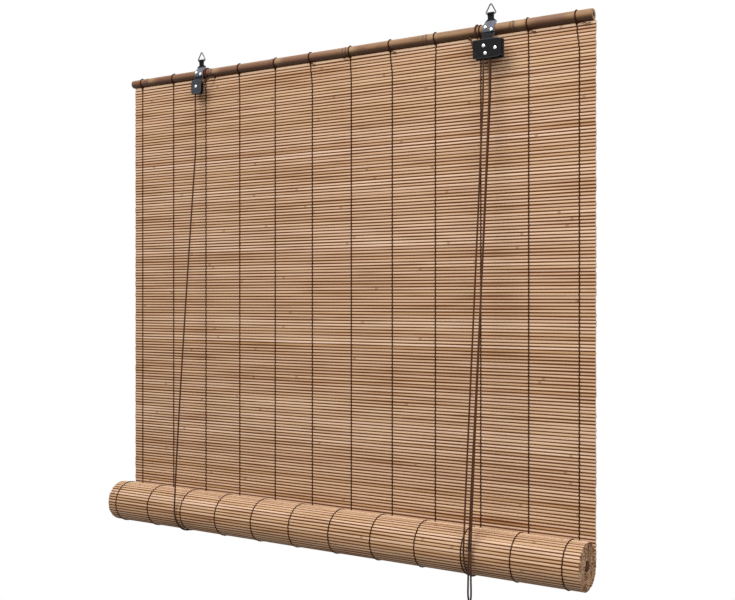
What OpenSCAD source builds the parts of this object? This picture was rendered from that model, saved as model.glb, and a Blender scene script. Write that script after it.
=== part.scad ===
// Bamboo roll up blind, half raised, hanging from two wire rings.
// Millimetres. X runs along the rod to the viewer's right, Y points back to the
// wall and Z is up. The origin is midway between the two hooks that carry it.

/* [Mat] */
// Width of the slatted mat and of its roll
mat_w = 800; // [500:10:1400]
// Slats in the stretch that hangs between the rod and the roll
hang_slats = 155; // [60:1:220]
// Distance from one slat to the next
slat_pitch = 4.4; // [3.4:0.1:7]
// Height of the see-through gap between two slats
slat_gap = 0.9; // [0.4:0.1:1.6]
// Thickness of a slat
slat_t = 2.4; // [1.6:0.1:3.6]
// Thickness of the mat between two slats
web_t = 0.8; // [0.4:0.1:1.2]
// Number of warp threads across the mat
warp_count = 12; // [6:1:20]
// Distance from the mat's left edge to its first warp thread
warp_inset_left = 18; // [8:1:60]
// Distance from the mat's right edge to its last warp thread
warp_inset_right = 22; // [8:1:60]
// Width of a warp thread
warp_w = 1.0; // [0.6:0.1:2]
// Height that a warp thread stands on the slats
warp_t = 0.5; // [0.3:0.1:0.8]

/* [Roll] */
// Turns of mat wound on the bottom rod
roll_turns = 8; // [3:1:10]
// Air between one turn and the next
turn_gap = 0.55; // [0.45:0.05:1.2]
// Diameter of the bottom rod in the middle of the roll
bottom_rod_d = 12; // [8:0.5:18]
// Air between the bottom rod and the first turn
core_gap = 0.4; // [0.35:0.05:0.8]

/* [Top rod] */
// How far the rod stands past the mat at its left end
rod_over_left = 3.5; // [0:0.5:30]
// How far the rod stands past the mat at its right end, below 0 where it stops short
rod_over_right = -3.5; // [-6:0.5:30]
// Diameter of the rod at its left, thin end
rod_d_left = 13; // [10:0.1:22]
// Diameter of the rod at its right, thick end
rod_d_right = 15.4; // [10:0.1:22]
// Distance from the left end of the rod to its first node ring
rod_node_first = 129; // [40:1:140]
// Distance from one node ring to the next
rod_node_pitch = 142; // [90:1:220]
// Height of a node ring
rod_node_h = 0.6; // [0.2:0.1:1.2]
// Half length of a node ring
rod_node_half = 4; // [2:0.5:6]
// Diameter of the hollow at each end of the rod
rod_bore_d = 6; // [3:0.5:7]
// Depth of the hollow at each end of the rod
rod_bore_depth = 40; // [10:1:80]
// Air between the rod and the top slat
top_gap = 0.8; // [0.6:0.1:6]

/* [Hangers] */
// Distance from the third last warp thread to the right ring
hanger_gap = 14.2; // [13.6:0.1:15.4]
// Height of the hooks above the middle of the rod
hang_h = 34; // [28:0.5:50]
// Thickness of the wire of a ring
ring_wire_d = 1.8; // [1.4:0.1:2.4]
// Width of a ring at its base, between wire centres
ring_base_w = 13.6; // [12:0.2:20]
// Width of a ring at its top, between wire centres
ring_top_w = 2.8; // [2:0.2:5]
// Height of a ring between wire centres
ring_h = 12.9; // [11:0.1:18]
// Thickness of the bent steel strap
strap_t = 1.2; // [0.8:0.1:2]
// Width of the strap over the rod
strap_w = 17.6; // [12:0.2:26]
// Width of the curled eye that holds the ring
eye_w = 8.2; // [5:0.2:8.4]
// Width of the neck where it meets the strap
neck_w = 12; // [9:0.5:16]
// Distance between the two screws of a strap, along the rod
screw_spacing = 8.6; // [6:0.2:10]
// Angle round the rod of a strap's left screw, up from the front
screw_left_deg = 16; // [-10:1:25]
// Angle round the rod of a strap's right screw, up from the front
screw_right_deg = -10; // [-12:1:25]
// Shank diameter of a strap screw
screw_d = 2.4; // [1.6:0.1:3]
// Head diameter of a strap screw
screw_head_d = 4.8; // [3.6:0.1:6]
// Depth of a strap screw in the rod
screw_depth = 5; // [3:0.5:7]

/* [Cord lock and pulley] */
// Width of the lock's plates
lock_w = 41; // [34:0.5:60]
// Height of the lock's plates
lock_h = 25; // [22:0.5:36]
// Space between the lock's plates
lock_cavity = 8.4; // [8.2:0.1:12]
// Width of the pulley's cheeks
cheek_w = 20; // [16:0.5:30]
// Height of the pulley's cheeks
cheek_h = 22.4; // [18:0.2:32]
// Space between the pulley's cheeks
cheek_cavity = 5; // [4.6:0.1:8]
// Thickness of the lock's plates and of the cheeks
plate_t = 1; // [0.6:0.1:1.6]
// How far the plates stand to the right of the ring
plate_shift = 4.5; // [0:0.1:8]
// Rivet diameter
rivet_d = 3; // [2:0.1:3.4]
// Rivet head diameter
rivet_head_d = 5.4; // [4.4:0.1:7]
// Radius at which the cord's middle runs round a sheave
cord_wrap_r = 4.4; // [4.2:0.1:6]
// Width of one groove of a sheave
groove_w = 3.4; // [3:0.1:4]
// Width of the rim beside a groove
sheave_rim = 0.4; // [0.2:0.1:0.8]
// Thickness of the toothed cam
cam_t = 6.8; // [4:0.1:8]
// Teeth on the cam
cam_teeth = 7; // [4:1:12]

/* [Cords] */
// Diameter of the lift and pull cords
cord_d = 2.4; // [1.6:0.1:2.8]
// Where the left cord passes under the roll, from the ring
left_sling_dx = 2; // [-6:0.5:6]
// Where the right cord passes under the roll, from the ring
right_sling_dx = -8; // [-12:0.5:6]
// Where the left cord is tied to the rod, from the ring
left_tie_dx = 13.5; // [12:0.5:20]
// Where the right cord is tied to the rod, from the ring
right_tie_dx = -19.5; // [-24:0.5:-18]

/* [Fits] */
// Running clearance round a pin, on the radius
pin_clear = 0.06; // [0.02:0.01:0.1]
// Clearance between pieces that are fastened together
seat_clear = 0.1; // [0.05:0.05:0.3]
// Clearance between pieces that pass each other
pass_clear = 0.3; // [0.2:0.05:0.6]

/* [Hidden] */
$fn = 48;

// Heights, from the hooks down
rod_z = -hang_h;
rod_x0 = -mat_w / 2 - rod_over_left;
rod_x1 = mat_w / 2 + rod_over_right;
rod_len = rod_x1 - rod_x0;
rod_r_max = max(rod_d_left, rod_d_right) / 2;
mat_top_z = rod_z - rod_r_max - top_gap;
roll_z = mat_top_z - hang_slats * slat_pitch;
slat_h = slat_pitch - slat_gap;
cord_r = cord_d / 2;

// Spiral of the roll, at the middle of the mat's thickness
turn_pitch = slat_t + turn_gap;
spiral_r0 = bottom_rod_d / 2 + core_gap + slat_t / 2;
spiral_r1 = spiral_r0 + turn_pitch * roll_turns;
spiral_len = 2 * PI * (spiral_r0 * roll_turns + turn_pitch * roll_turns * roll_turns / 2);
roll_slats = floor(spiral_len / slat_pitch);
roll_y = -spiral_r1;
roll_r = spiral_r1 + slat_t / 2;
band_steps = 24;
band_start_deg = 20;
band_r = (roll_r + 0.05) / cos(180 / band_steps) + warp_t;

// A cord passes under the roll outside the warp threads on it
sling_r = band_r + pass_clear + cord_r;
back_leg_y = roll_y + sling_r;

// Hangers, placed by the warp threads that they stand beside
warp_pitch = (mat_w - warp_inset_left - warp_inset_right) / (warp_count - 1);
hanger_x = mat_w / 2 - warp_inset_right - 2 * warp_pitch + hanger_gap;
ring_z = ring_wire_d / 2 - ring_h;
ring_bend_deg = 23;
eye_r = ring_wire_d / 2 + pin_clear + 1;
lap_y = -11;
plate_y = lap_y - strap_t;
lap_drop = 13;
lap_top_z = rod_z - lap_drop;
saddle_start_deg = 88;
saddle_end_deg = 222;

// Cord lock and pulley, offsets from the ring
lock_drop = 29.5;
lock_z = rod_z - lock_drop;
rivet_top = [-0.2, lock_z + 3.8];
sheave_at = [2.2, lock_z - 6.3];
cam_at = [16.4, lock_z - 0.7];
cheek_drop = 23.6;
cheek_z = rod_z - cheek_drop;
axle_at = [4.6, cheek_z + 0.8];
groove_step = groove_w + 0.2;
lock_mid_y = plate_y - plate_t - lock_cavity / 2;
cheek_mid_y = plate_y - plate_t - cheek_cavity / 2;
sheave_r = cord_wrap_r + cord_r;
front_groove_y = lock_mid_y - groove_step / 2;
back_groove_y = lock_mid_y + groove_step / 2;
sheave_gap = norm([cam_at[0] - sheave_at[0], cam_at[1] - sheave_at[1]]) - sheave_r;

// Ends of the lift cords
left_up = [-hanger_x + axle_at[0] - cord_wrap_r, cheek_mid_y, axle_at[1]];
right_up = [hanger_x + sheave_at[0] - cord_wrap_r, front_groove_y, sheave_at[1]];
pull_x = hanger_x + sheave_at[0] + cord_wrap_r;

// Pull cords: straight down out of the lock, then to the front of the roll and down to the hank
pull_straight = 8.2;
pull_rows = 10;
pull_foot = [hanger_x + 2.4, hanger_x - 0.4];
pull_foot_y = roll_y - sling_r;
pull_foot_z = roll_z + 7.7;
tail_sag = 0.4;
tail_rows = 4;
// The spare cord folded into a hank, with its tie and the knot at the cords' ends
hank_drop = 102.3;
hank_at = [hanger_x + 1, pull_foot_y, roll_z - hank_drop];
hank_w = 30;
hank_h = 60;
hank_t = 12;
tie_h = 8;
tie_t = 2;
knot_d = 9;
knot_tail = 12;

// Offsets of the crossing cord from the rings, where it dips back behind the mat
cross_left = [17, 24, 28, 36];
cross_right = [8, 18, 26, 30, 38];
cross_left_rise = 6.5;
cross_right_rise = [5.5, 9];
cross_dip = [0.6, 0.8, 2, 1.2];
gap_z = rod_z - rod_r_max - pass_clear - cord_r;
cross_front_y = -7;
cross_leave_deg = 75;
cross_meet_deg = 95;

// Functions

// Radius of the bare rod at x
function rod_r(x) =
    (rod_d_left + (rod_d_right - rod_d_left) * (x - rod_x0) / rod_len) / 2;
// Positions of the node rings along the rod
rod_nodes = [for (x = rod_x0 + rod_node_first; x < rod_x1 - rod_node_half;
    x = x + rod_node_pitch) x];
// Largest radius of the rod within half of x, node rings included
function rod_env(x, half) =
    max(rod_r(x - half), rod_r(x + half))
    + (len([for (n = rod_nodes) if (abs(n - x) < half + rod_node_half) n]) > 0 ? rod_node_h : 0);
// Place of warp thread i
function warp_x(i) = -mat_w / 2 + warp_inset_left + i * warp_pitch;
// Turns from the core after a length s of mat
function turns_at(s) =
    (sqrt(spiral_r0 * spiral_r0 + turn_pitch * max(s, 0) / PI) - spiral_r0) / turn_pitch;
// Point of the spiral at u turns, a distance off outside the middle of the mat
function spiral(u, off) = (spiral_r0 + turn_pitch * u + off)
    * [cos(360 * (u - roll_turns)), sin(360 * (u - roll_turns))] + [roll_y, roll_z];
// Outline of a rectangle with rounded corners, centred
function rounded(w, h, r) = [for (c = [0:3]) for (a = [0:22.5:90])
    [(c == 0 || c == 3 ? 1 : -1) * (w / 2 - r), (c < 2 ? 1 : -1) * (h / 2 - r)]
    + r * [cos(a + 90 * c), sin(a + 90 * c)]];
// Arc of points round [x, z] in the plane y
function arc_xz(c, y, r, a0, a1, n) = [for (i = [0:n])
    [c[0] + r * cos(a0 + (a1 - a0) * i / n), y, c[1] + r * sin(a0 + (a1 - a0) * i / n)]];
// Unit vector
function unit(v) = v / norm(v);
// Direction of a route at point i
function heading(p, i) = unit(p[min(i + 1, len(p) - 1)] - p[max(i - 1, 0)]);
// Route of a pull cord from y in the lock to its foot at x
function pull_route(y, x) = let(top = sheave_at[1] - pull_straight) concat([[pull_x, y, sheave_at[1]]],
    [for (i = [0:pull_rows]) let(t = i / pull_rows)
        [x + (pull_x - x) * pow(1 - t, 1.5), y + (pull_foot_y - y) * t, top + (pull_foot_z - top) * t]]);
// Route of a pull cord from its foot at x to the hank
function tail_route(x) = let(top = pull_foot_z - seat_clear, end = hank_at[2] + hank_h / 2 + seat_clear)
    [for (i = [0:tail_rows]) [x, pull_foot_y - tail_sag * sin(180 * i / tail_rows),
        top + (end - top) * i / tail_rows]];
// Angle above the front of the roll where a cord from [y, z] meets its sling
function sling_deg(p) = let(v = [p[1] - roll_y, p[2] - roll_z])
    atan2(v[1], v[0]) + acos(sling_r / norm(v));

// Helpers

// A Y-Z outline carried along X
module along_x(x0, length) {
    translate([x0, 0, 0]) rotate([90, 0, 90]) linear_extrude(length) children();
}

// An X-Z outline carried towards the viewer from the plane y
module forward(y, t) {
    translate([0, y, 0]) rotate([90, 0, 0]) linear_extrude(t) children();
}

// A cylinder towards the viewer from the plane y
module pin(at, y, length, d) {
    translate([at[0], y, at[1]]) rotate([90, 0, 0]) cylinder(d = d, h = length);
}

// A straight round bar between two points
module bar(p, q, d) {
    v = q - p;
    translate(p) rotate([0, acos(v[2] / norm(v)), atan2(v[1], v[0])]) cylinder(d = d, h = norm(v));
}

// A closed ring round the rod, of round section
module loop_round_rod(x, r, d) {
    translate([x, 0, rod_z]) rotate([0, 90, 0]) rotate_extrude() translate([r, 0]) circle(d = d);
}

// A tube of flat sides along a route; a route in one plane names the plane's normal
module tube(p, d, sides = 8, normal = undef) {
    rings = [for (i = [0:len(p) - 1]) let(t = heading(p, i),
            side = normal != undef ? normal : abs(t[1]) < 0.9 ? [0, 1, 0] : [1, 0, 0],
            a = unit(cross(t, side)), b = cross(t, a))
        for (k = [0:sides - 1]) p[i] + d / 2 * (a * cos(360 * k / sides) + b * sin(360 * k / sides))];
    last = (len(p) - 1) * sides;
    polyhedron(rings, concat(
        [[for (k = [0:sides - 1]) k]],
        [for (i = [0:len(p) - 2]) for (k = [0:sides - 1]) let(n = (k + 1) % sides)
            [i * sides + k, (i + 1) * sides + k, (i + 1) * sides + n, i * sides + n]],
        [[for (k = [sides - 1:-1:0]) last + k]]));
}

// A domed rivet through the planes y_back to y_front
module rivet(at, y_back, y_front) {
    head_h = rivet_head_d / 4;
    pin(at, y_back, y_back - y_front, rivet_d);
    translate([at[0], y_front, at[1]]) rotate([90, 0, 0]) rotate_extrude()
        polygon([[0, 0], [rivet_head_d / 2, 0], [rivet_head_d / 2, head_h * 0.3],
            [rivet_head_d * 0.32, head_h * 0.85], [0, head_h]]);
    pin(at, y_back + head_h * 0.6, head_h * 0.6, rivet_head_d * 0.9);
}

// Top rod: a tapered bamboo cane with node rings and a hollow at each end
module top_rod() color("#8a5a33") {
    outer = concat([[rod_r(rod_x0), rod_x0]],
        [for (x = rod_nodes) each [[rod_r(x), x - rod_node_half],
            [rod_r(x) + rod_node_h, x], [rod_r(x), x + rod_node_half]]],
        [[rod_r(rod_x1), rod_x1]]);
    difference() {
        translate([0, 0, rod_z]) rotate([0, 90, 0]) rotate_extrude()
            polygon(concat([[0, rod_x0]], outer, [[0, rod_x1]]));
        for (x = [rod_x0 - 1, rod_x1 - rod_bore_depth])
            translate([x, 0, rod_z]) rotate([0, 90, 0]) cylinder(d = rod_bore_d, h = rod_bore_depth + 1);
        for (side = [-1, 1]) for (dx = [-1, 1]) at_screw(side, dx)
            pin([0, 0], -screw_seat(side) + screw_depth + seat_clear, 2 * rod_r_max,
                screw_d + 2 * seat_clear);
    }
}

// Warp loops: each warp thread goes over the rod and down to both faces of the top slat
loop_steps = 12;
module warp_loops() color("#2c1c12") for (i = [0:warp_count - 1]) {
    end_y = slat_t / 2 + seat_clear + warp_w / 2;
    end_z = mat_top_z + seat_clear;
    reach = norm([end_y, end_z - rod_z]);
    r = (rod_env(warp_x(i), warp_w) + seat_clear) / cos(150 / loop_steps) + warp_w / 2;
    leave = atan2(end_z - rod_z, end_y) + acos(min(1, r / reach));
    tube(concat([[warp_x(i), end_y, end_z]],
        [for (k = [0:loop_steps]) let(a = leave + (180 - 2 * leave) * k / loop_steps)
            [warp_x(i), r * cos(a), rod_z + r * sin(a)]],
        [[warp_x(i), -end_y, end_z]]), warp_w, 6, [1, 0, 0]);
}

// Notches in the top slat, for the loops of the ties and where the crossing cord passes
// under the rod: left end, right end and bottom of each
notch_front = 3.5;
notch_back = 5;
cord_notches = concat(
    [for (x = [-hanger_x + left_tie_dx, hanger_x + right_tie_dx])
        [x - cord_r - pass_clear, x + cord_r + pass_clear, rod_z - tie_r(x) - cord_r - pass_clear]],
    [for (side = [-1, 1]) let(x = side < 0 ? -hanger_x + cross_left[2] : hanger_x - cross_right[3])
        [x - (side < 0 ? notch_front : notch_back), x + (side < 0 ? notch_back : notch_front),
            gap_z - cord_r - 2 * pass_clear]]);

// Mat: slats as ridges on both faces of one wall, with long gaps between them
module mat() color("#b98a5e") difference() {
    along_x(-mat_w / 2, mat_w) polygon(concat(
        [for (k = [0:hang_slats - 1]) let(z = mat_top_z - k * slat_pitch)
            each [[-slat_t / 2, z], [-slat_t / 2, z - slat_h],
                if (k < hang_slats - 1) [-web_t / 2, z - slat_h - slat_gap / 2]]],
        [for (k = [hang_slats - 1:-1:0]) let(z = mat_top_z - k * slat_pitch)
            each [[slat_t / 2, z - slat_h], [slat_t / 2, z],
                if (k > 0) [web_t / 2, z + slat_gap / 2]]]));
    for (k = [0:hang_slats - 2]) if (k % 4 != 3)
        translate([warp_x(0), -slat_t, mat_top_z - (k + 1) * slat_pitch + slat_gap / 4])
            cube([warp_x(warp_count - 1) - warp_x(0), 2 * slat_t, slat_gap / 2]);
    for (n = cord_notches) translate([n[0], -slat_t, n[2]])
        cube([n[1] - n[0], 2 * slat_t, mat_top_z - n[2] + 1]);
}

// Warp strings: the threads that bind the slats, on both faces of the mat
module warp_strings() color("#2c1c12")
    for (i = [0:warp_count - 1]) for (y = [-slat_t / 2 - warp_t, slat_t / 2])
        translate([warp_x(i) - warp_w / 2, y, roll_z + slat_gap])
            cube([warp_w, warp_t, mat_top_z - roll_z - slat_gap]);

// Radius of the inside of a strap, and of the seat of its screws
function strap_r(side) = rod_env(side * hanger_x, strap_w / 2) + seat_clear;
function screw_seat(side) = strap_r(side) + strap_t;

// A strap screw's place, turned round the rod
module at_screw(side, dx) translate([side * hanger_x + dx * screw_spacing / 2, 0, rod_z])
    rotate([dx < 0 ? -screw_left_deg : -screw_right_deg, 0, 0]) children();

// Strap: eye, neck, saddle over the rod and a sloping tab that carries the plates
module strap(side, rivet_at, lap_bottom) color("#23211f") {
    r = strap_r(side);
    difference() {
        translate([side * hanger_x, 0, 0]) union() {
            translate([-strap_w / 2, 0, rod_z]) rotate([90, 0, 90]) rotate([0, 0, saddle_start_deg])
                rotate_extrude(angle = saddle_end_deg - saddle_start_deg)
                    translate([r, 0]) square([strap_t, strap_w]);
            forward(strap_t / 2, strap_t) polygon([[-eye_w * 0.45, ring_z], [-eye_w * 0.45, ring_z - 4],
                [-neck_w / 2, rod_z + r + strap_t], [-neck_w / 2, rod_z + r + strap_t / 3],
                [neck_w / 2, rod_z + r + strap_t / 3], [neck_w / 2, rod_z + r + strap_t],
                [eye_w * 0.45, ring_z - 4], [eye_w * 0.45, ring_z]]);
            translate([-eye_w / 2, 0, ring_z]) rotate([0, 90, 0]) cylinder(r = eye_r, h = eye_w);
            along_x(-strap_w * 0.47, strap_w * 0.94) polygon([
                [0, rod_z] + (r + strap_t * 0.2) * [cos(saddle_end_deg - 3), sin(saddle_end_deg - 3)],
                [0, rod_z] + (r + strap_t * 0.8) * [cos(saddle_end_deg - 9), sin(saddle_end_deg - 9)],
                [lap_y - strap_t, lap_top_z], [lap_y - strap_t, lap_bottom],
                [lap_y, lap_bottom], [lap_y, lap_top_z - strap_t / 2]]);
        }
        translate([side * hanger_x - eye_w, 0, ring_z]) rotate([0, 90, 0])
            cylinder(d = ring_wire_d + 2 * pin_clear, h = 2 * eye_w);
        for (dx = [-1, 1]) at_screw(side, dx) pin([0, 0], 0, 2 * r, screw_d + 2 * seat_clear);
        translate([side * hanger_x, 0, 0]) pin(rivet_at, 0, 3 * r, rivet_d + 2 * seat_clear);
    }
}
module left_strap() strap(-1, axle_at, cheek_z - cheek_h / 2 + 3);
module right_strap() strap(1, rivet_top, rivet_top[1] - rivet_head_d);

// Strap screws: two pan heads on the front of the saddle
module strap_screws(side) color("#b9b6b0") for (dx = [-1, 1]) at_screw(side, dx) {
    pin([0, 0], -screw_seat(side) + screw_depth, screw_depth + 0.2, screw_d);
    translate([0, -screw_seat(side), 0]) rotate([90, 0, 0]) rotate_extrude()
        polygon([[0, 0], [screw_head_d / 2, 0], [screw_head_d / 2, 0.6],
            [screw_head_d * 0.3, 1.4], [0, 1.5]]);
}
module left_strap_screws() strap_screws(-1);
module right_strap_screws() strap_screws(1);

// Ring: a triangle of bent wire whose base turns in the strap's eye
module ring(side) color("#4a4744") translate([side * hanger_x, 0, ring_z]) {
    translate([-ring_base_w / 2 - ring_wire_d / 4, 0, 0]) rotate([0, 90, 0])
        cylinder(d = ring_wire_d, h = ring_base_w + ring_wire_d / 2);
    tube(concat([[-ring_base_w / 2, 0, 0]],
        arc_xz([0, ring_h - ring_top_w / 2], 0, ring_top_w / 2, 180 - ring_bend_deg, ring_bend_deg, 6),
        [[ring_base_w / 2, 0, 0]]), ring_wire_d, 16);
}
module left_ring() ring(-1);
module right_ring() ring(1);

// Cheek of the pulley: a plate with a round bottom, drilled for the axle
module cheek(y) color("#23211f") translate([-hanger_x, 0, 0]) difference() {
    forward(y, plate_t) translate([plate_shift, cheek_z]) polygon(rounded(cheek_w, cheek_h, 6));
    pin(axle_at, y + 1, plate_t + 2, rivet_d + 2 * seat_clear);
}
module left_back_cheek() cheek(plate_y);
module left_front_cheek() cheek(plate_y - plate_t - cheek_cavity);

// Axle of the pulley, riveted through the strap and both cheeks
module left_axle() color("#c9c6c0") translate([-hanger_x, 0, 0])
    rivet(axle_at, lap_y, plate_y - 2 * plate_t - cheek_cavity);

// Sheave: a grooved wheel on a rivet
module sheave(at, y_mid, grooves) {
    w = grooves * groove_w + (grooves - 1) * (groove_step - groove_w) + 2 * sheave_rim;
    bottom_r = cord_wrap_r - cord_r - pass_clear / 2;
    bottom_half = cord_r + 0.1;
    translate([at[0], y_mid, at[1]]) rotate([90, 0, 0]) rotate_extrude()
        polygon(concat([[rivet_d / 2 + pin_clear, -w / 2], [sheave_r, -w / 2]],
            [for (g = [0:grooves - 1]) let(m = (g - (grooves - 1) / 2) * groove_step)
                each [[sheave_r, m - groove_w / 2], [bottom_r, m - bottom_half],
                    [bottom_r, m + bottom_half], [sheave_r, m + groove_w / 2]]],
            [[sheave_r, w / 2], [rivet_d / 2 + pin_clear, w / 2]]));
}
module left_sheave() color("#3a3632") translate([-hanger_x, 0, 0]) sheave(axle_at, cheek_mid_y, 1);
module lock_sheave() color("#3a3632") translate([hanger_x, 0, 0]) sheave(sheave_at, lock_mid_y, 2);

// Plates of the cord lock; the front one is folded back along its right edge
module lock_plate(y) difference() {
    forward(y, plate_t) translate([plate_shift, lock_z]) polygon(rounded(lock_w, lock_h, 2.5));
    for (at = [rivet_top, sheave_at, cam_at])
        pin(at, y + 1, plate_t + 2, rivet_d + 2 * seat_clear);
}
module lock_back_plate() color("#23211f") translate([hanger_x, 0, 0]) lock_plate(plate_y);
module lock_front_plate() color("#23211f") translate([hanger_x, 0, 0]) {
    flange_h = lock_h - 5;
    lock_plate(plate_y - plate_t - lock_cavity);
    translate([plate_shift + lock_w / 2 - plate_t, plate_y - plate_t - lock_cavity - plate_t / 2,
        lock_z - flange_h / 2]) cube([plate_t, lock_cavity + plate_t / 2 - seat_clear, flange_h]);
}

// Rivets of the lock: one through the strap, one for the sheave, one for the cam
module lock_rivets() color("#c9c6c0") translate([hanger_x, 0, 0]) {
    front = plate_y - 2 * plate_t - lock_cavity;
    rivet(rivet_top, lap_y, front);
    rivet(sheave_at, plate_y, front);
    rivet(cam_at, plate_y, front);
}

// Cam: a toothed jaw that swings against the cords on the sheave
module lock_cam() color("#6b6762") translate([hanger_x, 0, 0]) difference() {
    reach = sheave_gap - pass_clear;
    first_deg = 172;
    span_deg = 60;
    union() {
        pin(cam_at, lock_mid_y + cam_t / 2, cam_t, rivet_d + 3.4);
        forward(lock_mid_y + cam_t / 2, cam_t) translate(cam_at) polygon(concat([[0, 0]],
            [for (i = [0:2 * cam_teeth]) let(a = first_deg + span_deg * i / (2 * cam_teeth),
                    r = reach * (1 + 0.06 * (0.5 - i / (2 * cam_teeth))) - (i % 2 == 0 ? 0.8 : 0))
                r * [cos(a), sin(a)]]));
    }
    pin(cam_at, lock_mid_y + cam_t, 2 * cam_t, rivet_d + 2 * pin_clear);
}

// Lift cords in front of the mat, from the pulley and the lock down to the slings
module front_leg(up, x) color("#4b3122") {
    a = sling_deg(up);
    foot = [x, roll_y + sling_r * cos(a), roll_z + sling_r * sin(a)];
    along = unit(up - foot);
    bar(foot + pass_clear * along, up - seat_clear * along, cord_d);
}
module left_front_leg() front_leg(left_up, -hanger_x + left_sling_dx);
module right_front_leg() front_leg(right_up, hanger_x + right_sling_dx);

// Lift cords behind the mat, from the slings up to the ties on the rod
module back_leg(x, tie_x) color("#4b3122")
    bar([x, back_leg_y, roll_z + pass_clear], [tie_x, back_leg_y, tie_z(tie_x) - tie_knot_r], cord_d);
module left_back_leg() back_leg(-hanger_x + left_sling_dx, -hanger_x + left_tie_dx);
module right_back_leg() back_leg(hanger_x + right_sling_dx, hanger_x + right_tie_dx);

// Slings: the lift cords under the roll
module sling(up, x) color("#4b3122") translate([x, roll_y, roll_z]) rotate([90, 0, 90])
    rotate([0, 0, sling_deg(up)]) rotate_extrude(angle = 360 - sling_deg(up))
        translate([sling_r, 0]) circle(d = cord_d);
module left_sling() sling(left_up, -hanger_x + left_sling_dx);
module right_sling() sling(right_up, hanger_x + right_sling_dx);

// Ties: each lift cord ends in a loop round the rod with a knot under it
tie_knot_r = 2.2;
function tie_r(x) = rod_env(x, cord_r) + seat_clear + cord_r;
function tie_z(x) = let(reach = rod_env(x, tie_knot_r) + seat_clear + tie_knot_r)
    rod_z - sqrt(reach * reach - back_leg_y * back_leg_y);
module cord_ties() color("#4b3122")
    for (x = [-hanger_x + left_tie_dx, hanger_x + right_tie_dx]) {
        loop_round_rod(x, tie_r(x), cord_d);
        translate([x, back_leg_y, tie_z(x)]) sphere(r = tie_knot_r);
    }

// Crossing cord: over the pulley, back under the rod, along behind the mat and
// forward again to the lock's sheave
module crossing_cord() color("#4b3122") {
    behind_y = back_leg_y + 2;
    left_x = -hanger_x + axle_at[0];
    right_x = hanger_x + sheave_at[0];
    tube(concat(
        arc_xz([left_x, axle_at[1]], cheek_mid_y, cord_wrap_r, 180, cross_leave_deg, 6),
        [[-hanger_x + cross_left[0], cheek_mid_y + 0.6, axle_at[1] + cross_left_rise],
            [-hanger_x + cross_left[1], cross_front_y, gap_z - cross_dip[1]],
            [-hanger_x + cross_left[2], 0, gap_z],
            [-hanger_x + cross_left[3], behind_y, gap_z - cross_dip[0]],
            [0, behind_y, gap_z - cross_dip[2]], [hanger_x - cross_right[4], behind_y, gap_z - cross_dip[0]],
            [hanger_x - cross_right[3], 0, gap_z],
            [hanger_x - cross_right[2], cross_front_y, gap_z - cross_dip[3]],
            [hanger_x - cross_right[1], back_groove_y + 1, sheave_at[1] + cross_right_rise[1]],
            [hanger_x - cross_right[0], back_groove_y, sheave_at[1] + cross_right_rise[0]]],
        arc_xz([right_x, sheave_at[1]], back_groove_y, cord_wrap_r, cross_meet_deg, 0, 5)), cord_d);
}

// The right lift cord on the lock's sheave
module right_wrap() color("#4b3122")
    translate([hanger_x + sheave_at[0], front_groove_y, sheave_at[1]]) rotate([90, 0, 0])
        rotate_extrude(angle = 180) translate([cord_wrap_r, 0]) circle(d = cord_d);

// Roll: the rest of the mat wound up as one spiral strip with its slats as ridges
module roll() color("#c0946a") along_x(-mat_w / 2, mat_w) polygon(concat(
    [for (j = [0:roll_slats - 1]) let(s = spiral_len - j * slat_pitch)
        each [spiral(turns_at(s), slat_t / 2), spiral(turns_at(s - slat_h), slat_t / 2),
            if (j < roll_slats - 1) spiral(turns_at(s - slat_h - slat_gap / 2), web_t / 2)]],
    [for (j = [roll_slats - 1:-1:0])
        spiral(turns_at(spiral_len - j * slat_pitch - slat_h), -slat_t / 2)],
    [spiral(roll_turns, -slat_t / 2)]));

// Roll strings: the warp threads where they cross the outer turn of the roll
module roll_strings() color("#2c1c12") for (i = [0:warp_count - 1])
    along_x(warp_x(i) - warp_w / 2, warp_w) polygon(concat(
        [for (k = [0:band_steps]) band_point(k, warp_t)],
        [for (k = [band_steps:-1:0]) band_point(k, 0)]));
// Point k of a thread round the outer turn, outside the slats' edges
function band_point(k, off) = let(u = roll_turns - (360 - band_start_deg) / 360 * (1 - k / band_steps),
    r = (spiral_r0 + turn_pitch * u + slat_t / 2 + 0.05) / cos(180 / band_steps) + off,
    a = 360 * (u - roll_turns)) [roll_y + r * cos(a), roll_z + r * sin(a)];

// Bottom rod: the dowel in the middle of the roll
module bottom_rod() color("#a87c50") translate([-mat_w / 2, roll_y, roll_z]) rotate([0, 90, 0])
    cylinder(d = bottom_rod_d, h = mat_w);

// Pull cords, in front of the mat and of the roll
module pull_upper_a() color("#4b3122") tube(pull_route(front_groove_y + 0.2, pull_foot[0]), cord_d);
module pull_upper_b() color("#4b3122") tube(pull_route(back_groove_y + 0.2, pull_foot[1]), cord_d);
module pull_tail_a() color("#4b3122") tube(tail_route(pull_foot[0]), cord_d);
module pull_tail_b() color("#4b3122") tube(tail_route(pull_foot[1]), cord_d);

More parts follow.
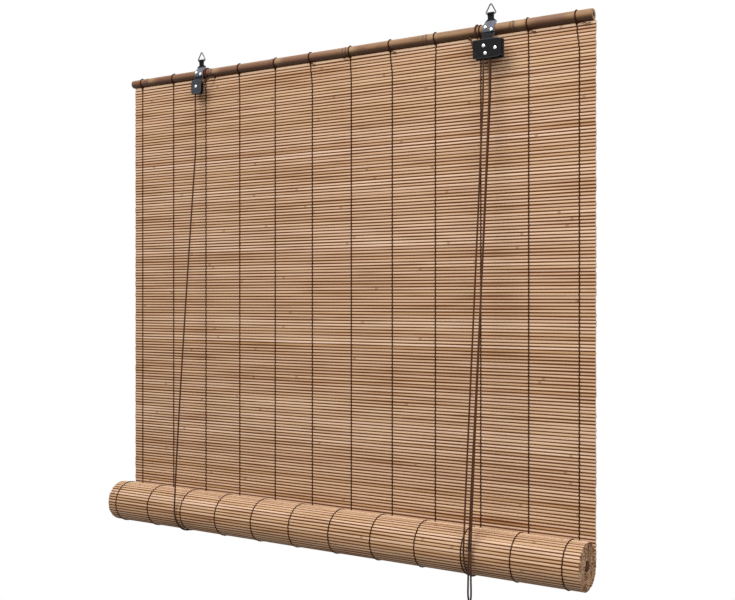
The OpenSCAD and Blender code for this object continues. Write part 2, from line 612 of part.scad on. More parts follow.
// Hank of spare cord, its tie and the knot at the ends of the cords
module cord_hank() color("#4b3122") translate(hank_at) {
    translate([0, hank_t / 2, 0]) rotate([90, 0, 0]) linear_extrude(hank_t) union() {
        square([hank_w, hank_h - hank_w], center = true);
        for (s = [-1, 1]) translate([0, s * (hank_h - hank_w) / 2]) circle(d = hank_w);
    }
}
module hank_tie() color("#4b3122") translate(hank_at) difference() {
    cube([hank_w + 2 * tie_t, hank_t + 2 * tie_t, tie_h], center = true);
    cube([hank_w + 2 * seat_clear, hank_t + 2 * seat_clear, tie_h + 2], center = true);
}
module pull_knot() color("#4b3122") translate(hank_at - [0, 0, (hank_h + knot_d) / 2 + seat_clear]) {
    rotate([90, 0, 0]) sphere(d = knot_d);
    for (dx = [-1, 1]) translate([dx * (cord_r + pass_clear), 0, -knot_d / 2 - knot_tail + 2])
        cylinder(d = cord_d, h = knot_tail);
}

top_rod();
warp_loops();
mat();
warp_strings();
left_strap();
left_strap_screws();
left_ring();
left_back_cheek();
left_front_cheek();
left_axle();
left_sheave();
right_strap();
right_strap_screws();
right_ring();
lock_back_plate();
lock_front_plate();
lock_rivets();
lock_sheave();
lock_cam();
left_front_leg();
right_front_leg();
left_back_leg();
right_back_leg();
left_sling();
right_sling();
cord_ties();
crossing_cord();
right_wrap();
roll();
roll_strings();
bottom_rod();
pull_upper_a();
pull_upper_b();
pull_tail_a();
pull_tail_b();
cord_hank();
hank_tie();
pull_knot();
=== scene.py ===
"""Bamboo roll up blind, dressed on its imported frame.

Metres, in the part's own frame: X along the rod to the viewer's right, Y back to
the wall and Z up, with the origin midway between the two hooks.
"""

import bpy
import numpy as np
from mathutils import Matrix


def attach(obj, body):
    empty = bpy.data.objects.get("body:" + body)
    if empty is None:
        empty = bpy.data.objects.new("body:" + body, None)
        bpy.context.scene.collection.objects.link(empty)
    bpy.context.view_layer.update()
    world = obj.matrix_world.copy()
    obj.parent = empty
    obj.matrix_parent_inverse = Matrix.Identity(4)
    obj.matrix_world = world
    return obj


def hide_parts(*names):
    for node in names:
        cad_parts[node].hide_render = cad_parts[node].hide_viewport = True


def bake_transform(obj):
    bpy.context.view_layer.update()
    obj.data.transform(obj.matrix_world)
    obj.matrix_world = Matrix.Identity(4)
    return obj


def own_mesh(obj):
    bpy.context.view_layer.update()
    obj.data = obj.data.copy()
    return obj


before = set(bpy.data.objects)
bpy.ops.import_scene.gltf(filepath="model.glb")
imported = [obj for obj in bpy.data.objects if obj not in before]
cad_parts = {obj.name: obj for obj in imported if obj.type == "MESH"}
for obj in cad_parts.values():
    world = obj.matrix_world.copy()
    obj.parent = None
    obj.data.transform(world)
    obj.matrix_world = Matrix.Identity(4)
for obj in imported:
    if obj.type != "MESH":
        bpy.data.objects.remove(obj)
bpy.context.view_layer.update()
TAU = 2 * np.pi

# Mat, threads and roll, as in the part's source
MAT_HALF, MAT_TOP = 0.4, -0.0425
PITCH, SLAT_T = 0.0044, 0.0024
SLAT_DROP = 0.00205  # from a slat's place on the mat to its middle
HANG_SLATS, ROLL_SLATS = 155, 221
WARPS = 12
WARP_PITCH = 0.76 / (WARPS - 1)
WARP_X = -0.382 + WARP_PITCH * np.arange(WARPS)
THREAD_R = 0.0006
ROLL_Y, ROLL_Z = -0.0312, -0.7245
CORE_R, TURN, TURNS = 0.0076, 0.00295, 8
SPIRAL_LEN = TAU * (CORE_R * TURNS + TURN * TURNS ** 2 / 2)

# Cane, as in the part's source
ROD_X0, ROD_X1 = -0.4035, 0.3965
ROD_Z = -0.034
ROD_R, ROD_TAPER = 0.0065, 0.0012
BORE_R, BORE_DEPTH = 0.003, 0.04
SEAT_GAP = 0.0001  # between the cane and what lies on it

# Straps, pulley and cord lock, as in the part's source; rivets are X from the hanger and Z
HANGER_X = 0.378 - 2 * WARP_PITCH + 0.0142
RING_Z = -0.012
STRAP_T, STRAP_W, SCREW_GAP = 0.0012, 0.0176, 0.0086
SCREW_DEG = (16, -10)
LAP_Y, PLATE_Y, PLATE_T = -0.011, -0.0122, 0.001
LOCK_Z, LOCK_W, LOCK_H, LOCK_CAVITY, LOCK_CORNER = -0.0635, 0.041, 0.025, 0.0084, 0.0016
CHEEK_Z, CHEEK_W, CHEEK_H, CHEEK_CAVITY, CHEEK_CORNER = -0.0576, 0.02, 0.0224, 0.005, 0.005
PLATE_SHIFT = 0.0045
RIVET_TOP, SHEAVE_AT, CAM_AT = (-0.0002, -0.0597), (0.0022, -0.0698), (0.0164, -0.0642)
AXLE_AT = (0.0046, -0.0568)
FRONT_GROOVE_Y, BACK_GROOVE_Y, CHEEK_MID_Y = -0.0192, -0.0156, -0.0157
WRAP_R = 0.0044

# Cords, as in the part's source
CORD_R = 0.0012
SLING_R = 0.03473
BACK_Y = ROLL_Y + SLING_R
FOOT_Y, FOOT_Z = ROLL_Y - SLING_R, ROLL_Z + 0.0077
LEFT_X, RIGHT_X = -HANGER_X + 0.002, HANGER_X - 0.008
LEFT_TIE_X, RIGHT_TIE_X = -HANGER_X + 0.0135, HANGER_X - 0.0195
TIE_REACH = 0.0022  # from the cane to the middle of a tie's knot
PULL_X = HANGER_X + SHEAVE_AT[0] + WRAP_R
FOOT_X = (HANGER_X + 0.0024, HANGER_X - 0.0004)
HANK = np.array([HANGER_X + 0.001, FOOT_Y, ROLL_Z - 0.1023])
KNOT = HANK - [0, 0, 0.0346]

# As photographed: the threads' drift at the cane, the cane's joints and the straps' necks
WARP_DRIFT = 0.001 * np.array([0, 0, 0, -1, 0.5, -3, -1.5, -3, 1, 0, -0.5, -3.2])
ROD_NODES = np.array([-0.371, -0.233, -0.1105, 0.0225, 0.156, 0.2865])
NECK_W = 0.0096


# Surfaces: each is (points, list of face arrays, list of corner UVs)

def unit(v):
    """Vectors along the last axis, divided by their length."""
    return v / np.linalg.norm(v, axis=-1, keepdims=True)


def smooth_path(knots, steps):
    """Catmull-Rom curve through the knots: each span is a cubic whose slope at a
    knot is half the way between that knot's two neighbours."""
    k = np.asarray(knots, float)
    k = np.vstack([2 * k[0] - k[1], k, 2 * k[-1] - k[-2]])
    t = np.linspace(0, 1, steps, endpoint=False)[None, :, None]
    a, b, c, d = (k[i:len(k) - 3 + i][:, None, :] for i in range(4))
    spans = 0.5 * (2 * b + (c - a) * t + (2 * a - 5 * b + 4 * c - d) * t ** 2
                   + (3 * b - a - 3 * c + d) * t ** 3)
    return np.vstack([spans.reshape(-1, k.shape[1]), k[-2]])


def skin(rings, closed=False):
    """Quads between neighbouring rings of each of m stacks, with the first and the
    last ring filled unless the stack is closed. rings is m x n x s x 3; the ring
    turns from a to b with a, b and the direction of the stack right-handed."""
    m, n, s, _ = rings.shape
    r, c = np.meshgrid(np.arange(n if closed else n - 1), np.arange(s), indexing="ij")
    r2, c2 = (r + 1) % n, (c + 1) % s
    quads = np.stack([r * s + c, r * s + c2, r2 * s + c2, r2 * s + c], -1).reshape(-1, 4)
    shift = (np.arange(m) * n * s)[:, None, None]
    steps = np.linalg.norm(np.diff(rings.mean(2), axis=1), axis=-1)
    run = np.concatenate([np.zeros((m, 1)), np.cumsum(steps, 1)], 1)
    v = np.concatenate([run, run[:, -1:] + run[:, 1:2]], 1)
    corners = np.stack([np.stack([c, c + 1, c + 1, c], -1) / s + 0 * v[:, r][..., None],
                        np.stack([v[:, r], v[:, r], v[:, r + 1], v[:, r + 1]], -1)], -1)
    faces, uvs = [(quads + shift).reshape(-1, 4)], [corners.reshape(-1, 4, 2)]
    if not closed:
        ends = np.stack([np.arange(s)[::-1], np.arange(s) + (n - 1) * s])
        faces.append((ends + shift).reshape(-1, s))
        uvs.append(np.zeros((2 * m, s, 2)))
    return rings.reshape(-1, 3), faces, uvs


LEAN = (0.31, 0.52, 0.8)  # along no path


def tubes(paths, radius, sides, lean=LEAN, closed=False):
    """Round tubes along m paths: every path point carries a circle square to the
    path, whose first point lies square to the path and to the lean direction."""
    p = np.asarray(paths, float)
    p = p[None] if p.ndim == 2 else p
    if closed:
        t = unit(np.roll(p, -1, 1) - np.roll(p, 1, 1))
    else:
        t = unit(np.gradient(p, axis=1))
    a = unit(np.cross(t, np.asarray(lean, float)))
    b = np.cross(t, a)
    angle = TAU * np.arange(sides) / sides
    r = np.broadcast_to(np.asarray(radius, float), p.shape[:2])[..., None, None]
    ring = a[:, :, None] * np.cos(angle)[:, None] + b[:, :, None] * np.sin(angle)[:, None]
    return skin(p[:, :, None] + r * ring, closed)


def lathe(profile, origin, axis, first, sides=32):
    """A profile of (distance along the axis, radius) turned round the axis."""
    h, r = np.asarray(profile, float).T
    axis, first = unit(np.asarray(axis, float)), unit(np.asarray(first, float))
    second = np.cross(axis, first)
    angle = TAU * np.arange(sides) / sides
    ring = first * np.cos(angle)[:, None] + second * np.sin(angle)[:, None]
    return skin((np.asarray(origin, float) + h[:, None, None] * axis + r[:, None, None] * ring)[None])


def strip(path, side, half_width, thick, edge=0.0003):
    """Sheet metal: a rectangle with rounded corners carried along a path. Its width
    lies along side and its thickness square to side and path."""
    p = np.asarray(path, float)
    t = unit(np.gradient(p, axis=0))
    a = np.broadcast_to(np.asarray(side, float), p.shape)
    b = np.cross(t, a)
    w = np.broadcast_to(np.asarray(half_width, float), len(p))[:, None]
    h = thick / 2
    wide = np.array([0, 0.29, 1, 2]) * edge
    thin = h - np.array([1, 0.29, 0, 0]) * edge
    s = np.concatenate([w - wide, -(w - wide[::-1]), -(w - wide), w - wide[::-1]], 1)
    m = np.concatenate([thin, thin[::-1], -thin, -thin[::-1]])[None] + 0 * w
    m[[0, -1]] *= 0.75
    return skin((p[:, None] + s[..., None] * a[:, None] + m[..., None] * b[:, None])[None])


def joined(*surfaces):
    """Several surfaces as one, with the later ones' point numbers moved up."""
    points, faces, uvs, count = [], [], [], 0
    for p, f, u in surfaces:
        points.append(p)
        faces += [x + count for x in f]
        uvs += u
        count += len(p)
    return np.concatenate(points), faces, uvs


def piece(name, surface, material, body, stands_for=(), marks=None):
    """Makes the mesh of a surface, with its UVs and its named point values, gives it
    its finish, ties it to its body and hides the CAD nodes that it stands for."""
    points, faces, uvs = surface
    mesh = bpy.data.meshes.new(name)
    loops = np.concatenate([f.ravel() for f in faces]).astype(np.int32)
    sizes = np.concatenate([np.full(len(f), f.shape[1]) for f in faces]).astype(np.int32)
    mesh.vertices.add(len(points))
    mesh.vertices.foreach_set("co", points.astype(np.float32).ravel())
    mesh.loops.add(len(loops))
    mesh.loops.foreach_set("vertex_index", loops)
    mesh.polygons.add(len(sizes))
    mesh.polygons.foreach_set("loop_start", (np.cumsum(sizes) - sizes).astype(np.int32))
    mesh.polygons.foreach_set("use_smooth", sizes == 4)
    mesh.update(calc_edges=True)
    layer = mesh.uv_layers.new(name="along")
    layer.data.foreach_set("uv", np.concatenate([u.ravel() for u in uvs]).astype(np.float32))
    for label, values in (marks or {}).items():
        layer = mesh.attributes.new(label, "FLOAT", "POINT")
        layer.data.foreach_set("value", values.astype(np.float32).ravel())
    mesh.materials.append(material)
    obj = bpy.data.objects.new(name, mesh)
    bpy.context.scene.collection.objects.link(obj)
    if body:
        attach(obj, body)
    if stands_for:
        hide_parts(*stands_for)
    return obj


# Finishes

def rgb(r, g, b):
    """A screen colour of 0 to 255 as linear light."""
    c = np.array([r, g, b]) / 255
    return (*np.where(c < 0.04045, c / 12.92, ((c + 0.055) / 1.055) ** 2.4), 1.0)


def add(tree, kind, inputs=None, **settings):
    """A shader node with its settings, and its inputs linked or set."""
    made = tree.nodes.new("ShaderNode" + kind)
    for key, value in settings.items():
        setattr(made, key, value)
    for key, value in (inputs or {}).items():
        if isinstance(value, bpy.types.NodeSocket):
            tree.links.new(value, made.inputs[key])
        else:
            made.inputs[key].default_value = value
    return made


def sums(tree, operation, a, b=0.0, c=0.0):
    """One arithmetic step on numbers."""
    return add(tree, "Math", {0: a, 1: b, 2: c}, operation=operation).outputs[0]


def between(tree, share, a, b):
    """A colour part of the way from a to b."""
    return add(tree, "Mix", {0: share, 6: a, 7: b}, data_type="RGBA").outputs[2]


def band(tree, value, low, high):
    """0 below low, 1 above high, and smooth between them."""
    return add(tree, "MapRange", {0: value, 1: low, 2: high}, interpolation_type="SMOOTHSTEP").outputs[0]


def scaled(tree, value, span, low):
    """low plus span times a value."""
    return sums(tree, "MULTIPLY_ADD", value, span, low)


def tinted(tree, base, share, strength, colour):
    """A colour taken towards another one by a share times a strength."""
    return between(tree, sums(tree, "MULTIPLY", share, strength), base, colour)


def own(tree):
    """The piece's own coordinates, in metres."""
    return add(tree, "TexCoord").outputs["Object"]


def part(tree, vector, axis):
    """One coordinate of a vector, 0 to 2."""
    return add(tree, "SeparateXYZ", {0: vector}).outputs[axis]


def grain(tree, scale, detail):
    """Noise on the piece's own coordinates, stretched by three scales a metre."""
    spot = add(tree, "Mapping", {"Vector": own(tree), "Scale": scale}).outputs[0]
    noise = {"Vector": spot, "Scale": 1.0, "Detail": detail, "Roughness": 0.6}
    return add(tree, "TexNoise", noise).outputs[0]


def seen(tree):
    """1 for a ray from the camera, a mirror or a clear piece, and 0 for one that lights."""
    ray = add(tree, "LightPath").outputs
    most = sums(tree, "MAXIMUM", ray["Is Camera Ray"], ray["Is Glossy Ray"])
    return sums(tree, "MAXIMUM", most, ray["Is Transmission Ray"])


def mark(tree, name):
    """The value that a piece's mesh carries under a name."""
    return add(tree, "Attribute", attribute_name=name).outputs["Fac"]


def finish(name, dress, **sockets):
    """A material: dress(tree) gives what is linked to its shader, and the other
    sockets get plain values."""
    made = bpy.data.materials.new(name)
    made.use_nodes = True
    tree = made.node_tree
    shader = tree.nodes["Principled BSDF"]
    for key, value in sockets.items():
        shader.inputs[key.replace("_", " ")].default_value = value
    for key, value in dress(tree).items():
        if key == "Bump":
            height, depth = value
            value = add(tree, "Bump", {"Height": height, "Strength": 1.0, "Distance": depth}).outputs[0]
            key = "Normal"
        tree.links.new(value, shader.inputs[key])
    return made


def dress_slats(tree):
    """Stained bamboo: each slat has its own tone, pinker or yellower, and long fibres, here
    and there a joint, brown edges of staining and painted shade between slats, whose width
    wavers along it, and pale cut ends."""
    tone, edge = mark(tree, "tone"), mark(tree, "edge")
    fibre = grain(tree, (9, 700, 700), 4)
    patch = grain(tree, (6, 150, 150), 2)
    along = scaled(tree, tone, 61.0, sums(tree, "MULTIPLY", part(tree, own(tree), 0), 0.8))
    joint = add(tree, "TexVoronoi", {"W": along, "Scale": 1.0}, voronoi_dimensions="1D").outputs["Distance"]
    ring = sums(tree, "SUBTRACT", 1.0, band(tree, joint, 0.0006, 0.003))
    pink = sums(tree, "FRACT", sums(tree, "MULTIPLY", tone, 17.3))
    yellower = between(tree, tone, rgb(193, 156, 119), rgb(226, 194, 161))
    pinker = between(tree, tone, rgb(198, 160, 129), rgb(231, 199, 174))
    base = between(tree, pink, yellower, pinker)
    base = tinted(tree, base, band(tree, fibre, 0.42, 0.75), 0.35, rgb(167, 121, 79))
    base = tinted(tree, base, band(tree, patch, 0.54, 0.74), 0.3, rgb(145, 97, 57))
    base = tinted(tree, base, ring, 0.4, rgb(92, 58, 34))
    # Brown edges: partly staining, partly painted shade in the gaps between slats
    stain_and_gap_shade = scaled(tree, patch, 0.6, sums(tree, "SUBTRACT", edge, 0.3))
    base = tinted(tree, base, band(tree, stain_and_gap_shade, 0.34, 0.66), 0.96, rgb(98, 51, 6))
    base = tinted(tree, base, mark(tree, "cut"), 0.75, rgb(226, 192, 162))
    rough = scaled(tree, fibre, 0.25, 0.58)
    return {"Base Color": base, "Roughness": rough, "Bump": (fibre, 0.00025)}


def dress_cane(tree):
    """Stained cane: redder to the left and yellower to the right, with streaks along it,
    mottling round it, dark rings at its joints and a paler collar beside each, a painted
    highlight on top, painted shade underneath and in its bore, and pale pith at its cut ends."""
    ring, collar, cut, under = (mark(tree, name) for name in ("ring", "collar", "cut", "under"))
    x = part(tree, own(tree), 0)
    streak = grain(tree, (16, 420, 420), 4)
    blotch = grain(tree, (26, 60, 60), 3)
    before = sums(tree, "SUBTRACT", 1.0, band(tree, x, 0.355, 0.37))
    red = sums(tree, "MULTIPLY", band(tree, x, 0.3, 0.33), before)
    yellow = sums(tree, "MULTIPLY", band(tree, x, -0.1, 0.16), sums(tree, "SUBTRACT", 1.0, red))
    base = between(tree, yellow, rgb(113, 77, 53), rgb(137, 102, 67))
    base = tinted(tree, base, band(tree, blotch, 0.46, 0.7), 0.75, rgb(98, 59, 36))
    base = tinted(tree, base, band(tree, streak, 0.45, 0.75), 0.5, rgb(84, 51, 31))
    base = tinted(tree, base, collar, 0.45, rgb(178, 146, 106))
    # Painted light: paler on the cane's top as a painted highlight, dark brown underneath as painted shade
    base = tinted(tree, base, band(tree, under, 0.34, 0.04), 0.4, rgb(184, 152, 118))
    base = tinted(tree, base, band(tree, under, 0.5, 0.8), 0.85, rgb(54, 31, 18))
    # The ring colour also darkens the bore, as painted shade
    base = tinted(tree, base, ring, 0.85, rgb(58, 36, 22))
    pith = between(tree, grain(tree, (900, 900, 900), 2), rgb(120, 84, 52), rgb(196, 160, 116))
    base = between(tree, cut, base, pith)
    rough = scaled(tree, streak, 0.3, scaled(tree, cut, 0.3, 0.34))
    return {"Base Color": base, "Roughness": rough, "Bump": (streak, 0.0003)}


def dress_dowel(tree):
    """Plain turned wood with growth lines along it, in browns painted very dark as the shade in the roll's
    core.
    """
    line = grain(tree, (10, 600, 600), 3)
    # Very dark browns: painted shade in the roll's core
    base = between(tree, band(tree, line, 0.4, 0.7), rgb(84, 52, 32), rgb(50, 29, 17))
    return {"Base Color": base, "Bump": (line, 0.0002)}


def twist(tree, strands, lay):
    """Two sets of strands that wind round a cord in opposite directions: the larger
    of two sines of the turn round it plus or minus the length along it."""
    uv = add(tree, "UVMap", uv_map="along").outputs[0]
    turn = sums(tree, "MULTIPLY", part(tree, uv, 0), TAU * strands)
    run = sums(tree, "MULTIPLY", part(tree, uv, 1), TAU / lay)
    over = sums(tree, "SINE", sums(tree, "ADD", turn, run))
    under = sums(tree, "SINE", sums(tree, "SUBTRACT", turn, run))
    return scaled(tree, sums(tree, "MAXIMUM", over, under), 0.5, 0.5)


def dress_thread(tree):
    """Twisted dark thread."""
    strand, fuzz = twist(tree, 2, 0.0018), grain(tree, (1500, 1500, 1500), 2)
    base = between(tree, strand, rgb(30, 12, 3), rgb(66, 33, 14))
    return {"Base Color": base, "Roughness": scaled(tree, fuzz, 0.2, 0.7), "Bump": (strand, 0.0002)}


def dress_cord(tree):
    """Braided dark brown cord, darker at its lower ends, below the roll."""
    strand, fuzz = twist(tree, 4, 0.004), grain(tree, (900, 900, 900), 2)
    base = between(tree, strand, rgb(36, 20, 12), rgb(86, 52, 33))
    base = tinted(tree, base, band(tree, fuzz, 0.5, 0.8), 0.4, rgb(108, 73, 51))
    # Darker below the roll's height
    below_roll = band(tree, part(tree, own(tree), 2), -0.72, -0.77)
    base = tinted(tree, base, below_roll, 0.85, rgb(24, 13, 9))
    return {"Base Color": base, "Roughness": scaled(tree, fuzz, 0.2, 0.62), "Bump": (strand, 0.0004)}


def dress_enamel(tree):
    """Black enamel with a fine orange-peel, rubbed grey and lightened as a painted highlight
    where a piece's mark says so, and with a painted highlight along its rims."""
    peel, wear = grain(tree, (700, 700, 700), 2), grain(tree, (160, 160, 160), 4)
    # Painted highlight with wear: grey where the piece's mark is set, on the saddles and the front cheek
    rub_and_highlight = sums(tree, "MULTIPLY", mark(tree, "rub_and_highlight"), scaled(tree, wear, 1.2, 0.4))
    base = tinted(tree, rgb(15, 15, 17), band(tree, wear, 0.5, 0.8), 0.5, rgb(38, 38, 41))
    base = between(tree, rub_and_highlight, base, rgb(112, 115, 124))
    # Painted highlight: the rounded edges and ends go grey
    base = tinted(tree, base, mark(tree, "rim"), 0.5, rgb(110, 110, 114))
    rough = scaled(tree, wear, 0.3, 0.34)
    return {"Base Color": base, "Roughness": rough, "Bump": (peel, 0.00005)}


def plain(scale, detail, colours, rough, depth, span=None):
    """The dress of a finish with one grain: its colour goes from one to the other over a
    span of the grain, or all of it, and its roughness and its bump follow the grain."""
    def dress(tree):
        wear = grain(tree, scale, detail)
        share = band(tree, wear, *span) if span else wear
        base = between(tree, share, rgb(*colours[0]), rgb(*colours[1]))
        return {"Base Color": base, "Roughness": scaled(tree, wear, *rough), "Bump": (wear, depth)}
    return dress


SLATS = finish("bamboo_slats", dress_slats, Specular_IOR_Level=0.05)
CANE = finish("bamboo_cane", dress_cane, Specular_IOR_Level=0.3)
DOWEL = finish("wood_dowel", dress_dowel, Roughness=0.7, Specular_IOR_Level=0.08)
THREAD = finish("warp_thread", dress_thread, Specular_IOR_Level=0.03)
CORD = finish("cord", dress_cord, Specular_IOR_Level=0.15, Sheen_Weight=0.03)
ENAMEL = finish("black_enamel", dress_enamel, Specular_IOR_Level=0.09)
# Dark wire with bright rubs, nickel plate with fine scratches, moulded nylon and cast zinc
WIRE = finish("ring_wire", plain((260, 260, 260), 3, ((70, 68, 66), (128, 125, 121)), (0.25, 0.22),
                                 0.00004, (0.45, 0.75)), Metallic=0.8)
NICKEL = finish("bright_steel", plain((300, 300, 2400), 3, ((226, 224, 220), (184, 181, 176)), (0.2, 0.14),
                                      0.00002, (0.4, 0.75)), Metallic=1.0)
NYLON = finish("sheave_nylon", plain((500, 500, 500), 2, ((44, 41, 39), (72, 68, 64)), (0.2, 0.4), 0.00005))
ZINC = finish("cam_zinc", plain((420, 420, 420), 4, ((116, 113, 108), (170, 167, 160)), (0.25, 0.3), 0.0001),
              Metallic=0.9)


# Camera

def put_camera():
    """The photograph's viewpoint: right of the blind, level, looking 32 degrees to the left."""
    data = bpy.data.cameras.new("camera")
    data.lens, data.sensor_width = 49.65, 36.0
    data.clip_start, data.clip_end = 0.01, 100
    cam = bpy.data.objects.new("camera", data)
    cam.location = (0.8328, -1.2373, -0.3937)
    cam.rotation_euler = (np.radians(89.94), 0, np.radians(32.01))
    bpy.context.scene.collection.objects.link(cam)
    bpy.context.scene.camera = cam


put_camera()


# Cords

CORD_SIDES = 10


def cord(name, path, node_names, body, lean=LEAN):
    """A braided cord along a path."""
    return piece(name, tubes(path, CORD_R, CORD_SIDES, lean), CORD, body, node_names)


def shorten(obj):
    """Gives a piece its own copy of its mesh."""
    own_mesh(obj)


def lean_out(t, start):
    """Share of the way out to the front of the roll, at a share t of a cord's fall: none
    before start, so that the cord clears its housing, and then 1 - (1 - g) ** 1.2, so
    that it meets the roll upright."""
    return 1 - (1 - np.clip((t - start) / (1 - start), 0, 1)) ** 1.2


def pull_route(y, foot_x):
    """A pull cord's points from the lock to the front of the roll: straight out of the
    lock, then out and across to the foot, with X going over as t ** 1.6."""
    t = np.linspace(0, 1, 31)
    top = SHEAVE_AT[1] - 0.0082
    run = np.stack([PULL_X + (foot_x - PULL_X) * t ** 1.6 + 0.0008 * np.sin(np.pi * t),
                    y + (FOOT_Y - y) * lean_out(t, 0.06), top + (FOOT_Z - top) * t], 1)
    return np.vstack([[PULL_X, y, SHEAVE_AT[1]], [PULL_X, y, SHEAVE_AT[1] - 0.004], run])


# The hank: turns of each cord, half length of a straight side, and radius and depth before the
# first turn and after each
HANK_TURNS, HANK_SIDE = 8, 0.015
RADII = 0.001 * np.array([7.2, 7.2, 9.6, 12, 14.4, 14.4, 12, 9.6, 7.2])
DEPTHS = -0.001 * np.array([6.1, 3.6, 3.6, 3.6, 3.6, 1.2, 1.2, 1.2, 1.2])


def hank_run(side, foot_x):
    """A cord's tail from the roll and its turns in the hank. A turn goes down one side,
    round the bottom, up the other side and round the top; its radius and its depth change
    along the first side. side is 1 for the front cord, and -1 mirrors it to the back."""
    f = np.arange(HANK_TURNS * 24) / 24
    i, share = f.astype(int), f % 1
    step = np.clip(share / 0.22, 0, 1)
    step = step * step * (3 - 2 * step)
    r = RADII[i] + (RADII[i + 1] - RADII[i]) * step
    y = DEPTHS[i] + (DEPTHS[i + 1] - DEPTHS[i]) * step
    starts, sizes = np.array([0, 0.235, 0.5, 0.735]), np.array([0.235, 0.265, 0.235, 0.265])
    quarter = np.searchsorted(starts[1:], share, side="right")
    q = (share - starts[quarter]) / sizes[quarter]
    arc = np.select([quarter == 1, quarter == 3], [-np.pi * q, np.pi * (1 - q)], 0 * q)
    x = np.select([quarter == 0, quarter == 2], [r, -r], r * np.cos(arc))
    end = np.where(quarter == 1, -HANK_SIDE, HANK_SIDE)
    down = HANK_SIDE - 2 * HANK_SIDE * q
    z = np.select([quarter == 0, quarter == 2], [down, -down], end + r * np.sin(arc))
    turned = np.array([side, side, 1])
    turns = HANK + turned * np.stack([x, y, z], 1)
    head = np.array([foot_x, FOOT_Y, FOOT_Z]) + 0.001 * np.array([
        [0, 0, -0.1], [side * 0.2, -0.3, -20], [side * 0.6, -0.4, -40], [side * 0.9, -0.4 - side * 0.4, -58],
        [side, -side * 4.2, -70], [side * 2.8, -side * 6.1, -80]])
    entry = HANK + 0.001 * turned * [6.6, -6.1, 22]
    tail = HANK + 0.001 * turned * [[6.2, -1.3, 12], [4.2, -1.8, 3], [3.4, -3, -8],
                                    [2.6, -5.9, -17], [2, -6.1, -25], [1.6, -4.6, -31]]
    close = KNOT + 0.001 * turned * [1.2, -0.8, 0]
    return smooth_path(np.vstack([head, entry, turns, tail, close]), 3)


def knot_run():
    """The closing knot: a cord wound three and a half times round the two ends, on a
    barrel that is widest in the middle."""
    f = np.linspace(0, 1, 90)
    r = 0.0021 + 0.0010 * np.sin(np.pi * f)
    return KNOT + np.stack([r * np.cos(TAU * 3.5 * f), r * np.sin(TAU * 3.5 * f), 0.0033 - 0.0066 * f], 1)


def knot_end(side):
    """A cord's end below the knot: straight down, and out as the square of its fall."""
    f = np.linspace(0, 1, 9)
    x = KNOT[0] + side * (0.0015 + 0.0008 * f ** 2)
    return np.stack([x, np.full_like(f, KNOT[1]), KNOT[2] + 0.002 - 0.0164 * f], 1)


def rounded_loop(half_x, half_y, z0, z1, turns, at):
    """Turns round a box with round corners: X and Y go as the square root of the
    cosine and of the sine, and Z climbs evenly."""
    a = np.linspace(0, TAU * turns, int(48 * turns) + 1)
    c, s = np.cos(a), np.sin(a)
    return at + np.stack([half_x * np.sign(c) * np.abs(c) ** 0.55, half_y * np.sign(s) * np.abs(s) ** 0.55,
                          z0 + (z1 - z0) * a / a[-1]], 1)


knot_paths = [knot_run(), knot_end(-1), knot_end(1)]
knot = piece("pull_knot", joined(*[tubes(path, CORD_R, CORD_SIDES) for path in knot_paths]),
             CORD, "pull", ["pull_knot"])
hank_tie = cord("hank_tie", rounded_loop(0.0169, 0.0062, -0.0026, 0.0026, 3, HANK), ["hank_tie"], "pull",
                (0, 0, 1))

for tag, side, y in (("a", 1, FRONT_GROOVE_Y + 0.0002), ("b", -1, BACK_GROOVE_Y + 0.0002)):
    foot_x = FOOT_X[0] if side > 0 else FOOT_X[1]
    upper_path = pull_route(y, foot_x)
    upper = cord("pull_upper_" + tag, upper_path, ["pull_upper_" + tag], "root")
    shorten(upper)
    tail_path = hank_run(side, foot_x)
    tail = piece("pull_tail_" + tag, tubes(tail_path, CORD_R, CORD_SIDES, (0.1, 0.95, 0.2)), CORD, None,
                 ["pull_tail_" + tag] + (["cord_hank"] if side > 0 else []))
    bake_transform(tail)


def sling_angle(up):
    """Angle round the roll, from the back over the top, where a cord from a point
    leaves the circle under the roll: the point's own angle plus acos(radius / distance)."""
    v = np.array([up[1] - ROLL_Y, up[2] - ROLL_Z])
    return np.arctan2(v[1], v[0]) + np.arccos(SLING_R / np.hypot(*v))


SLING_IN = 0.00205  # the most by which the cord under the roll is drawn in


def round_roll(x, a):
    """Points of the cord under the roll at x, for angles a: its circle, drawn in to the
    slats by the root of a sine of the way round between its ends."""
    share = (a - a[0]) / max(a[-1] - a[0], 1e-6)
    r = SLING_R - SLING_IN * np.sin(np.pi * share) ** 0.5
    return np.stack([np.full_like(a, x), ROLL_Y + r * np.cos(a), ROLL_Z + r * np.sin(a)], 1)


def leg_route(up, foot, start, bow):
    """A lift cord's points from its sheave to the front of the roll: it leans out after
    start and bows to the right by a sine of its fall."""
    t = np.linspace(0, 1, 33)
    run = np.linspace(up, foot, len(t))
    run[:, 0] += bow * np.sin(np.pi * t)
    run[:, 1] = up[1] + (foot[1] - up[1]) * lean_out(t, start)
    return run


# Lift cords: side, X under the roll, point on the sheave, X of the tie, start of the lean and bow
LEFT_TOP = (-HANGER_X + AXLE_AT[0] - WRAP_R, CHEEK_MID_Y, AXLE_AT[1])
RIGHT_TOP = (HANGER_X + SHEAVE_AT[0] - WRAP_R, FRONT_GROOVE_Y, SHEAVE_AT[1])
LIFTS = (("left", LEFT_X, LEFT_TOP, LEFT_TIE_X, 0.15, 0.0012),
         ("right", RIGHT_X, RIGHT_TOP, RIGHT_TIE_X, 0.08, 0.0016))


def rod_r(x):
    """Radius of the bare cane at x."""
    return ROD_R + ROD_TAPER * (x - ROD_X0) / (ROD_X1 - ROD_X0)


